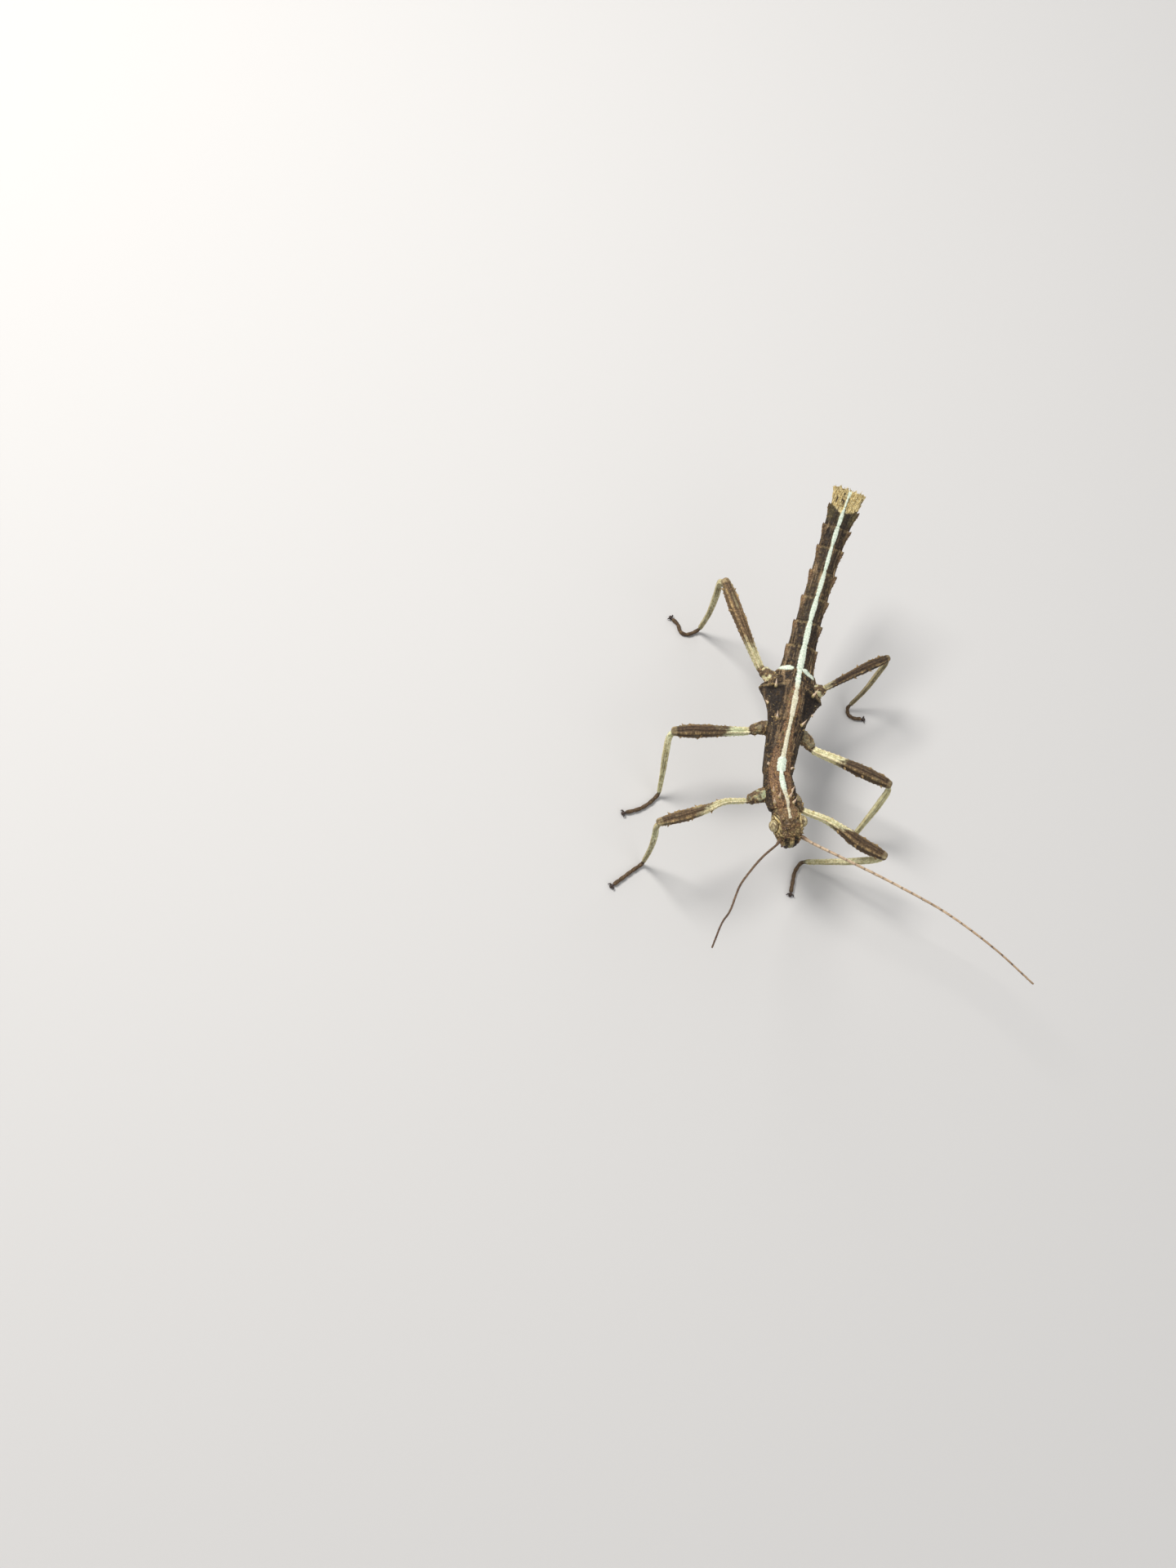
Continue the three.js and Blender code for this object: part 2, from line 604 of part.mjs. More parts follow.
// A soft pad between two hooked claws, at the tip of the foot.
function claws(curve) {
  const tip = curve.getPointAt(1);
  const along = curve.getTangentAt(1).setZ(0).normalize();
  const side = new THREE.Vector3().crossVectors(UP, along);
  const padCentre = tip.clone().addScaledVector(along, CUT + PAD_RADII[1] * 0.9).setZ(PAD_RADII[2]);
  const pad = ellipsoid(padCentre.toArray(), [PAD_RADII[0], PAD_RADII[0], PAD_RADII[2]], BALL_SIDES.pad);
  const hooks = [-1, 1].map((hand) => {
    const bend = padCentre.clone().addScaledVector(side, hand * CLAW.bendAside).setZ(CLAW.bendHeight);
    const point = bend.clone().addScaledVector(side, hand * CLAW.pointAside);
    point.addScaledVector(along, CLAW.pointAhead).setZ(CLAW.pointHeight);
    const curveOut = path([padCentre.toArray(), bend.toArray(), point.toArray()]);
    return limb({
      curve: curveOut, across: CLAW.radii, height: CLAW.radii,
      steps: 2, sides: SIDES.spine, wantedUp: along,
    });
  });
  const ankleSide = limb({
    curve: new THREE.LineCurve3(curve.getPointAt(ANKLE_CLEARANCE.from), tip),
    across: [ANKLE_CLEARANCE.radius, ANKLE_CLEARANCE.radius],
    height: [ANKLE_CLEARANCE.radius, ANKLE_CLEARANCE.radius],
    steps: 1, sides: SIDES.leg, wantedUp: UP, grow: CUT,
  });
  return joined([pad, ...hooks]).subtract(ankleSide).subtract(underFloor(tip));
}

// ---------------------------------------------------------------- assembly

const insect = new THREE.Group();
insect.position.set(-FLOOR_CENTRE.x, -FLOOR_CENTRE.y, 0);

function addPiece(parent, name, solid, material) {
  const mesh = new THREE.Mesh(toGeometry(solid), material);
  mesh.name = name;
  parent.add(mesh);
}

function addBody() {
  SEGMENTS.forEach((segment) => {
    const isTail = segment.name === 'abdomen_9';
    const extras = isTail ? tailLobes(segment) : bodySpines(segment);
    const material = isTail ? MATERIALS.tail : MATERIALS.shell;
    addPiece(insect, segment.name, joined([bodyShell(segment), ...extras]), material);
  });
}

function addHead() {
  const neckClearance = shellGeometry(SEGMENTS[0], CUT).applyMatrix4(headGroup.matrixWorld.clone().invert());
  const head = joined([headShell(), ...headSpines()]).subtract(toSolid(neckClearance));
  addPiece(headGroup, 'head', head, MATERIALS.shell);
  addPiece(headGroup, 'eye_left', eye(1), MATERIALS.eye);
  addPiece(headGroup, 'eye_right', eye(-1), MATERIALS.eye);
  addPiece(headGroup, 'mouthparts', mouthparts(), MATERIALS.mouth);
  addPiece(headGroup, 'antenna_left_scape', scape(1, FEELERS.left.scape), MATERIALS.feeler);
  addPiece(headGroup, 'antenna_right_scape', scape(-1, FEELERS.right.scape), MATERIALS.feeler);
  insect.add(headGroup);
}

function addFeelerThread(hand) {
  const curve = path(FEELERS[hand].thread);
  const halfCut = 0.5 * CUT / curve.getLength();
  for (let part = 0; part < FEELER_LENGTHS; part += 1) {
    const thread = limb({
      curve, across: [FEELER_RADIUS, FEELER_RADIUS], height: [FEELER_RADIUS, FEELER_RADIUS],
      steps: 5, sides: SIDES.feeler, wantedUp: UP,
      from: part / FEELER_LENGTHS + halfCut, to: (part + 1) / FEELER_LENGTHS - halfCut,
    });
    addPiece(insect, `antenna_${hand}_${part + 1}`, thread, MATERIALS.feeler);
  }
}

function addLeg(name) {
  const { girth, coxa, femur, shin, foot } = LEGS[name];
  const hand = name.endsWith('left') ? 1 : -1;
  const femurCurve = path(femur);
  const footCurve = path(foot);
  const hip = limb({
    curve: path(coxa), ...COXA_SHAPE, steps: 3, sides: SIDES.leg, wantedUp: UP,
  });
  const outward = new THREE.Vector3(hand, 0, 0);
  const tibia = limb({
    curve: path(shin), ...stout(SHIN_SHAPE, girth), steps: 5, sides: SIDES.leg, wantedUp: outward,
  });
  const femurShape = stout(name.startsWith('front') ? FRONT_FEMUR_SHAPE : FEMUR_SHAPE, girth);
  const femurClearance = femurShell(femurCurve, femurShape, SEAT_GAP);
  const thigh = joined([femurShell(femurCurve, femurShape), ...femurTeeth(femurCurve, hand, femurShape)]);
  addPiece(insect, `leg_${name}_coxa`, hip.subtract(bodyClearance).subtract(femurClearance), MATERIALS.shell);
  addPiece(insect, `leg_${name}_femur`, thigh, MATERIALS.femur);
  addPiece(insect, `leg_${name}_tibia`, tibia.subtract(femurClearance), MATERIALS.shin);
  addPiece(insect, `leg_${name}_tarsus`, tarsus(footCurve), MATERIALS.foot);
  addPiece(insect, `leg_${name}_claws`, claws(footCurve), MATERIALS.claw);
}

addBody();
addHead();
addFeelerThread('left');
addFeelerThread('right');
Object.keys(LEGS).forEach(addLeg);

export default insect;
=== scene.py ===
"""Spiny stick insect, life size and still: skins for body and legs, eyes, feelers, mouth and claws."""
import math

import bpy
import numpy as np
from mathutils import Matrix, Vector


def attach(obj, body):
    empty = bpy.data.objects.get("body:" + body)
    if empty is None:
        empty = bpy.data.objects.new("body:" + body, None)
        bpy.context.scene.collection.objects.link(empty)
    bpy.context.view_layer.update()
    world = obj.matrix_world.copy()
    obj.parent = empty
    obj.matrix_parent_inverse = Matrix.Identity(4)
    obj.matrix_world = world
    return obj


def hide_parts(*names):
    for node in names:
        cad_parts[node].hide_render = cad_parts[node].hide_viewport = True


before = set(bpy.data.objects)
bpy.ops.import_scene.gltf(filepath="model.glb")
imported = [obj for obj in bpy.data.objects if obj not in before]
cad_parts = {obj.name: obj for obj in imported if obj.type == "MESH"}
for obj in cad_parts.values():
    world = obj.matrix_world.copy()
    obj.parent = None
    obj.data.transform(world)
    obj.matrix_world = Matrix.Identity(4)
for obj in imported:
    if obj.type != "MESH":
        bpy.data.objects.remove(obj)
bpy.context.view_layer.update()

MM = 0.001
UP = np.array([0.0, 0.0, 1.0])
TO_FLOOR_CENTRE = np.array([-8.086, 3.887, 0.0])  # from the thorax to the middle of the floor
random = np.random.default_rng(11)
draw = random.uniform

# ---- sizes shared with the solids, in mm

BACK_ROUNDING = 1.45
BELLY_ROUNDING = 2.3
RIDGE = [
    (0.8, -11.5, 12.2), (0.2, -9.5, 12.4), (-0.53, -7.1, 12.4), (-0.64, -3.6, 12.78), (-0.54, 0, 12.9),
    (-0.44, 3.8, 12.75), (-0.44, 7.2, 12.6), (-0.49, 13.4, 13.9), (-0.28, 19.7, 16.0), (-0.15, 24.8, 18.05),
    (0.15, 29.5, 20.5),
]
# name, length, half width, height above the widest line, depth below it
SEGMENTS = [
    ("prothorax", 4.6, [1.75, 2.0, 2.05, 1.95, 1.8], [1.2, 1.35, 1.4, 1.35, 1.3], [1.5, 1.8, 1.8, 1.7, 1.6]),
    ("mesothorax", 7.15, [1.95, 2.0, 2.1, 2.15, 2.35, 2.4], [1.4, 1.5, 1.6, 1.8, 2.0, 1.8],
     [1.6, 1.7, 1.9, 2.0, 2.1, 2.2]),
    ("metathorax", 5.1, [2.45, 2.65, 3.05, 3.65, 4.2], [1.8, 1.9, 2.1, 2.5, 2.9], [2.2, 2.15, 2.0, 1.8, 1.6]),
    ("median_segment", 2.05, [4.1, 3.2, 2.6], [2.7, 2.0, 1.5], [1.7, 2.0, 2.1]),
    ("abdomen_2", 3.3, [2.3, 2.05, 2.02], [1.4, 1.3, 1.3], [2.0, 1.9, 1.85]),
    ("abdomen_3", 3.2, [1.85, 1.75, 1.87], [1.2, 1.1, 1.1], [1.8, 1.75, 1.75]),
    ("abdomen_4", 3.25, [1.65, 1.62, 1.78], [0.95, 0.9, 0.9], [1.75, 1.7, 1.7]),
    ("abdomen_5", 3.45, [1.6, 1.58, 1.76], [0.8, 0.75, 0.75], [1.7, 1.65, 1.65]),
    ("abdomen_6", 3.25, [1.55, 1.56, 1.74], [0.7, 0.65, 0.65], [1.65, 1.6, 1.6]),
    ("abdomen_7", 2.65, [1.57, 1.62, 1.85], [0.6, 0.58, 0.58], [1.6, 1.6, 1.6]),
    ("abdomen_8", 2.5, [1.68, 1.78, 2.02], [0.55, 0.5, 0.5], [1.5, 1.4, 1.3]),
    ("abdomen_9", 2.3, [1.78, 1.9, 2.15], [0.45, 0.4, 0.35], [1.2, 1.0, 0.7]),
]
LENGTHS = np.array([entry[1] for entry in SEGMENTS])
STARTS = np.concatenate([[0], np.cumsum(LENGTHS)[:-1]])
NUMBER = {entry[0]: k for k, entry in enumerate(SEGMENTS)}
BODY_LENGTH = LENGTHS.sum()

HEAD_AT = (1.08, -11.75, 11.15)
HEAD_YAW = 26
HEAD_PITCH = 20
HEAD_ROUNDING = 2.1
# forward, half width, rise, depth
HEAD_STATIONS = np.array([
    (-0.3, 1.5, 0.95, 1.1), (0.2, 1.75, 1.15, 1.35), (0.85, 1.92, 1.38, 1.5), (1.55, 1.98, 1.42, 1.55),
    (2.35, 1.8, 1.3, 1.5), (3.1, 1.55, 1.05, 1.3), (3.75, 1.2, 0.7, 1.05), (4.1, 0.85, 0.4, 0.75),
])
EYE_AT = (1.85, 1.4, 0.35)  # side, forward, up
EYE_RADII = (0.62, 0.74, 0.68)
SCAPE_ROOT = (1.2, 3.0, 0.4)

# side: the end of the first joint, and the points of the thread
FEELERS = {
    "left": ((4.75, -14.45, 10.75), [
        (5.0, -14.55, 10.8), (8.6, -15.4, 11), (15.6, -16.85, 10.9), (22.6, -18.8, 11), (28.6, -21.9, 11.8),
        (33.2, -25.4, 13)]),
    "right": ((0.75, -16.15, 10.75), [
        (0.55, -16.4, 10.95), (-1.22, -19.08, 13.3), (-3.81, -23.85, 18), (-5.05, -26.5, 20.7),
        (-6.7, -31.33, 25.5), (-8.1, -34.2, 29), (-9.3, -38, 32)]),
}

# name: girth, coxa, femur, shin, foot
LEGS = {
    "front_right": (
        0.95, [(-1, -9.6, 10.3), (-1.9, -10, 10.25), (-3.3, -11, 10.2)],
        [(-3.5, -11.15, 10.2), (-6.36, -12.38, 10.7), (-8.17, -13.95, 11.1), (-9.95, -15.21, 11.3),
         (-13.72, -17.6, 11.5)],
        [(-13.75, -17.85, 10.8), (-13.35, -17.9, 8.2), (-12.95, -18.15, 4.4), (-12.93, -18.6, 0.75)],
        [(-12.98, -18.75, 0.42), (-14.01, -19.97, 0.25), (-15.01, -21.24, 0.25), (-15.85, -22.3, 0.27)]),
    "middle_right": (
        1.05, [(-1.9, -0.6, 10), (-3.2, -0.85, 9.9), (-4.5, -1.5, 9.7)],
        [(-4.75, -1.65, 9.65), (-7.9, -2.75, 9.85), (-11, -3.75, 9.95), (-13.98, -4.7, 9.95)],
        [(-14.2, -5, 9.2), (-13.95, -6.2, 7), (-13.35, -7.5, 3.9), (-12.8, -8.95, 0.75)],
        [(-12.85, -9.12, 0.42), (-13.78, -10.6, 0.25), (-14.82, -11.65, 0.25), (-16.3, -12.55, 0.27)]),
    "hind_right": (
        1.05, [(-2.2, 5.6, 10.5), (-3.4, 6.1, 10.4), (-4.6, 6.8, 10.3)],
        [(-4.85, 7, 10.3), (-7.4, 10.3, 11.05), (-9.75, 13.7, 11.65), (-11.84, 17, 12)],
        [(-12.2, 17.15, 11.2), (-12, 16.8, 8.6), (-11.8, 16.35, 4.6), (-12.02, 16.05, 0.75)],
        [(-12.25, 15.85, 0.42), (-13.52, 14.95, 0.25), (-14.38, 15.13, 0.25), (-14.93, 16.1, 0.25),
         (-15.75, 16.65, 0.27)]),
    "front_left": (
        1.05, [(1.3, -9.3, 10.3), (2, -9.5, 10.3), (3.05, -10.25, 10.25)],
        [(3.3, -10.4, 10.2), (6.78, -10.76, 10), (9.14, -11.39, 9.6), (11.54, -12.11, 9.1),
         (14.87, -12.7, 8.65)],
        [(14.6, -12.75, 7.85), (12.6, -12.8, 5.3), (9.9, -12.8, 2.9), (7.25, -12.8, 0.75)],
        [(6.95, -12.95, 0.42), (6.42, -14.2, 0.25), (6.34, -15.71, 0.25), (6.31, -17.05, 0.27)]),
    "middle_left": (
        1.0, [(1.5, -0.6, 10), (2.6, -0.95, 9.9), (3.3, -1.55, 9.75)],
        [(3.5, -1.72, 9.7), (6.9, -2.4, 9.95), (10.4, -3.1, 10.15), (13.76, -3.81, 10.2)],
        [(13.95, -4.1, 9.45), (13.8, -5.2, 7.2), (13.45, -6.4, 4.1), (13.1, -7.55, 0.75)],
        [(13.2, -7.72, 0.42), (14.35, -7.85, 0.25), (15.5, -8.05, 0.25), (16.7, -8.3, 0.27)]),
    "hind_left": (
        0.85, [(1.7, 5.5, 10.5), (2.7, 6, 10.35), (3.45, 6.65, 10.05)],
        [(3.62, 6.85, 9.98), (6.2, 9.35, 9.95), (8.9, 11.95, 9.85), (11.52, 14.3, 9.5)],
        [(11.68, 14.25, 8.75), (11.45, 13.5, 6.5), (10.95, 12.3, 3.6), (10, 11, 0.75)],
        [(9.95, 10.85, 0.42), (10.2, 10, 0.25), (11.05, 9.68, 0.25), (12, 9.85, 0.27)]),
}
# half widths and half heights along a limb
COXA_SHAPE = ([1.1, 0.92, 0.62], [1.05, 0.9, 0.62])
FEMUR_SHAPE = ([0.52, 0.58, 0.68, 0.79, 0.82, 0.61], [0.5, 0.6, 0.7, 0.79, 0.79, 0.61])
FRONT_FEMUR_SHAPE = ([0.4, 0.43, 0.54, 0.76, 0.82, 0.61], [0.42, 0.46, 0.56, 0.76, 0.8, 0.61])
SHIN_SHAPE = ([0.36, 0.42, 0.43, 0.39, 0.35, 0.32], [0.36, 0.45, 0.46, 0.41, 0.36, 0.33])
FOOT_WAIST = 0.22
FOOT_BULGE = 0.26
FOOT_JOINTS = 5
PAD_RADII = (0.26, 0.3, 0.2)
# share along, degrees round from the top, length
FEMUR_TEETH = [
    (0.34, 80, 0.26), (0.46, -85, 0.3), (0.58, 95, 0.34), (0.68, -75, 0.34), (0.78, 180, 0.3),
    (0.88, 75, 0.32), (0.92, -100, 0.3),
]
# segment, share along, round (0 ridge, 1 widest line), length
THORAX_SPINES = [
    ("prothorax", 0.14, 0.5, 0.9), ("prothorax", 0.27, 0.22, 1.1), ("prothorax", 0.46, 0.45, 0.75),
    ("mesothorax", 0.12, 0.66, 0.35), ("mesothorax", 0.97, 0.54, 1.15),
    ("metathorax", 0.45, 0.97, 0.4), ("metathorax", 0.9, 0.5, 1.1), ("median_segment", 0.25, 0.95, 0.55),
]
# forward, round, length
HEAD_SPINES = [(0.75, 0.3, 0.6), (1.15, 0.52, 0.5), (2.3, 0.28, 0.42)]


# ---- numbers: noise, ramps and lines

def jolt(size):
    return size * random.normal(size=3)


def unit(v):
    return v / np.maximum(np.linalg.norm(v, axis=-1, keepdims=True), 1e-12)


def clip01(x):
    return np.clip(x, 0, 1)


def ramp(x, low, high):
    """Rises smoothly from 0 at low to 1 at high."""
    t = clip01((x - low) / (high - low))
    return t * t * (3 - 2 * t)


def fall(x, low, high):
    return 1 - ramp(x, low, high)


def band(x, low, full, fading, gone):
    return ramp(x, low, full) * fall(x, fading, gone)


def bell(x, width):
    return np.exp(-(x / width) ** 2)


def wave(x, period, shift=0):
    return np.sin(2 * math.pi * x / period + shift)


def turned(angle, degrees):
    """How far angles lie from a direction, from -pi to pi."""
    return np.angle(np.exp(1j * (angle - math.radians(degrees))))


def blurred(values, spread, reach):
    kernel = np.exp(-0.5 * (np.arange(-reach, reach + 1) / spread) ** 2)
    return np.convolve(np.pad(values, reach, mode="edge"), kernel / kernel.sum(), mode="valid")


def lattice(x, y, z, seed):
    n = (x * 374761393 + y * 668265263 + z * 362437 + seed * 974634777) & 0xFFFFFFFF
    n = ((n ^ (n >> 13)) * 1274126177) & 0xFFFFFFFF
    return ((n ^ (n >> 16)) & 0xFFFFFF) / 0x7FFFFF - 1


def noise(p, size, seed=0):
    """Smooth noise from -1 to 1 over points, with cells of the given size, one or three numbers."""
    q = p / np.asarray(size, float)
    i = np.floor(q).astype(np.int64)
    f = q - i
    f = f * f * (3 - 2 * f)
    total = 0
    for corner in np.ndindex(2, 2, 2):
        c = np.array(corner)
        weight = np.prod(np.where(c == 1, f, 1 - f), axis=-1)
        total = total + weight * lattice(*np.moveaxis(i + c, -1, 0), seed)
    return total


def rough(p, size, seed=0, octaves=3):
    size = np.asarray(size, float)
    return sum(noise(p, size / 2 ** k, seed + k) / 2 ** k for k in range(octaves)) / (2 - 2 ** (1 - octaves))


class Line:
    """A centripetal Catmull-Rom line through points, read by share of its length."""

    STEPS = 160  # between two points
    NEAR = 0.004  # share of the length over which a direction is taken

    def __init__(self, points):
        p = np.array(points, float)
        p = np.vstack([2 * p[0] - p[1], p, 2 * p[-1] - p[-2]])
        t = np.linspace(0, 1, self.STEPS, endpoint=False)[:, None]
        pieces = []
        for a, b, c, d in zip(p, p[1:], p[2:], p[3:]):
            before, here, after = (np.sum((v - u) ** 2) ** 0.25 for u, v in ((a, b), (b, c), (c, d)))
            start = ((b - a) / before - (c - a) / (before + here) + (c - b) / here) * here
            end = ((c - b) / here - (d - b) / (here + after) + (d - c) / after) * here
            pieces.append(b + start * t + (3 * (c - b) - 2 * start - end) * t ** 2
                          + (2 * (b - c) + start + end) * t ** 3)
        self.points = np.vstack([*pieces, p[-2:-1]])
        steps_taken = np.linalg.norm(np.diff(self.points, axis=0), axis=1)
        self.reach = np.concatenate([[0], np.cumsum(steps_taken)])
        self.length = self.reach[-1]

    def at(self, share):
        s = np.atleast_1d(share) * self.length
        return np.stack([np.interp(s, self.reach, self.points[:, k]) for k in range(3)], axis=-1)

    def along(self, share):
        share = np.atleast_1d(share)
        return unit(self.at(np.minimum(share + self.NEAR, 1)) - self.at(np.maximum(share - self.NEAR, 0)))


def smooth_list(values, t):
    """Values evenly spaced along 0 to 1, read on a smooth curve through them."""
    values = np.asarray(values, float)
    place = clip01(t) * (len(values) - 1)
    i = np.minimum(place.astype(int), len(values) - 2)
    f = place - i
    v = np.concatenate([[2 * values[0] - values[1]], values, [2 * values[-1] - values[-2]]])
    a, b, c, d = v[i], v[i + 1], v[i + 2], v[i + 3]
    return b + 0.5 * f * (c - a + f * (2 * a - 5 * b + 4 * c - d + f * (3 * (b - c) + d - a)))


# ---- tubes of points

def section(half, rise, depth, rounding_up, rounding_down, columns):
    """Closed outlines, one a row: offsets to the left and up, and distance round from the top."""
    a = np.linspace(0, math.pi, 361)
    cosine, sine = np.cos(a), np.abs(np.sin(a))
    n = np.where(cosine > 0, rounding_up, rounding_down)
    share = np.abs(np.linspace(-1, 1, columns, endpoint=False))
    sign = np.sign(np.linspace(-1, 1, columns, endpoint=False))
    x, z, w = (np.empty((len(half), columns)) for _ in range(3))
    for i, (h, r, d) in enumerate(zip(half, rise, depth)):
        across = h * sine ** (2 / n)
        up = np.where(cosine > 0, r, d) * np.sign(cosine) * np.abs(cosine) ** (2 / n)
        arc = np.concatenate([[0], np.cumsum(np.hypot(np.diff(across), np.diff(up)))])
        x[i] = sign * np.interp(share * arc[-1], arc, across)
        z[i] = np.interp(share * arc[-1], arc, up)
        w[i] = sign * share * arc[-1]
    return x, z, w


def normals(p):
    around = np.roll(p, -1, axis=1) - np.roll(p, 1, axis=1)
    n = unit(np.cross(np.gradient(p, axis=0), around))
    outward = p - p.mean(axis=1, keepdims=True)
    return n * np.sign(np.sum(n * outward))


class Tube:
    """Rings along a line: points p, outward directions n, places s along and w round in mm."""

    def __init__(self, line, half, rows, columns, rise=None, depth=None, rounding=(2, 2), span=(0, 1), drop=0,
                 wanted_up=UP):
        t = np.linspace(*span, rows)
        rise = half if rise is None else rise
        half, rise, depth = (value if len(value) == rows else smooth_list(value, t)
                             for value in (half, rise, rise if depth is None else depth))
        self.along = line.along(t)
        self.up = unit(wanted_up - self.along * (self.along @ wanted_up)[:, None])
        self.left = np.cross(self.along, self.up)
        x, z, self.w = section(half, rise, depth, *rounding, columns)
        self.t = np.repeat(t[:, None], columns, axis=1)
        self.s = self.t * line.length
        centre = line.at(t) - self.up * (drop * rise)[:, None]
        self.p = centre[:, None] + x[..., None] * self.left[:, None] + z[..., None] * self.up[:, None]
        self.n = normals(self.p)
        self.angle = np.arctan2(x / half[:, None], z / np.where(z > 0, rise[:, None], depth[:, None]))

    def chart(self, stretch=1.0):
        """Points on the unrolled surface, for noise that runs along it."""
        return np.stack([self.s / stretch, self.w, np.full_like(self.w, 0.37)], axis=-1)

    def fibres(self, length, width, seed):
        """Noise in streaks along the tube."""
        return rough(np.stack([self.s / length, self.w / width, 0 * self.w], -1), 1.0, seed, 2)

    def column(self, row, degrees):
        """The column nearest to a direction, where 0 is the top and 90 the left."""
        return int(np.argmin(np.abs(turned(self.angle[row], degrees))))

    def swell(self, height):
        self.p = self.p + self.n * height[..., None]
        return self.p


def scattered(tube, count, radii, heights, reach=None):
    """Rows of place along, place round, radius and height, in mm."""
    reach = np.max(tube.w) if reach is None else reach
    ranges = ((tube.s[0, 0], tube.s[-1, 0]), (-reach, reach), radii, heights)
    return np.column_stack([draw(*ends, count) for ends in ranges])


def pebbles(tube, *kinds):
    """Heights of small round grains, by kind: how many, their radii, their heights and how far round."""
    height = np.zeros(tube.w.shape)
    rows, columns = height.shape
    s = tube.s[:, 0]
    step = s[1] - s[0]
    for s0, w0, radius, rise in np.concatenate([scattered(tube, *kind) for kind in kinds]):
        first = max(int((s0 - radius - s[0]) / step), 0)
        last = min(int((s0 + radius - s[0]) / step) + 2, rows)
        limit = -tube.w[first, 0]
        low = max(int((w0 - radius * 1.1 + limit) / (2 * limit) * columns) - 1, 0)
        high = min(int((w0 + radius * 1.1 + limit) / (2 * limit) * columns) + 3, columns)
        if low < high:
            window = (slice(first, last), slice(low, high))
            near = ((tube.s[window] - s0) ** 2 + (tube.w[window] - w0) ** 2) / radius ** 2
            height[window] = np.maximum(height[window], rise * clip01(1 - near) ** 1.3)
    return height


# ---- skins: many closed tubes as one mesh

CAP_ANGLES = np.radians([25, 48, 66, 80])
SMALLEST_PLACE, PLACE_GAP = 0.3, 0.12  # of and between tubes on the unwrap, in mm
SPACE_TO_SPARE = 1.1  # of the unwrap's width over that of a square with the tubes' area
POINT_RADIUS = 0.012  # of a spine's point, in mm


def add_object(name, data):
    thing = bpy.data.objects.new(name, data)
    bpy.context.scene.collection.objects.link(thing)
    return thing


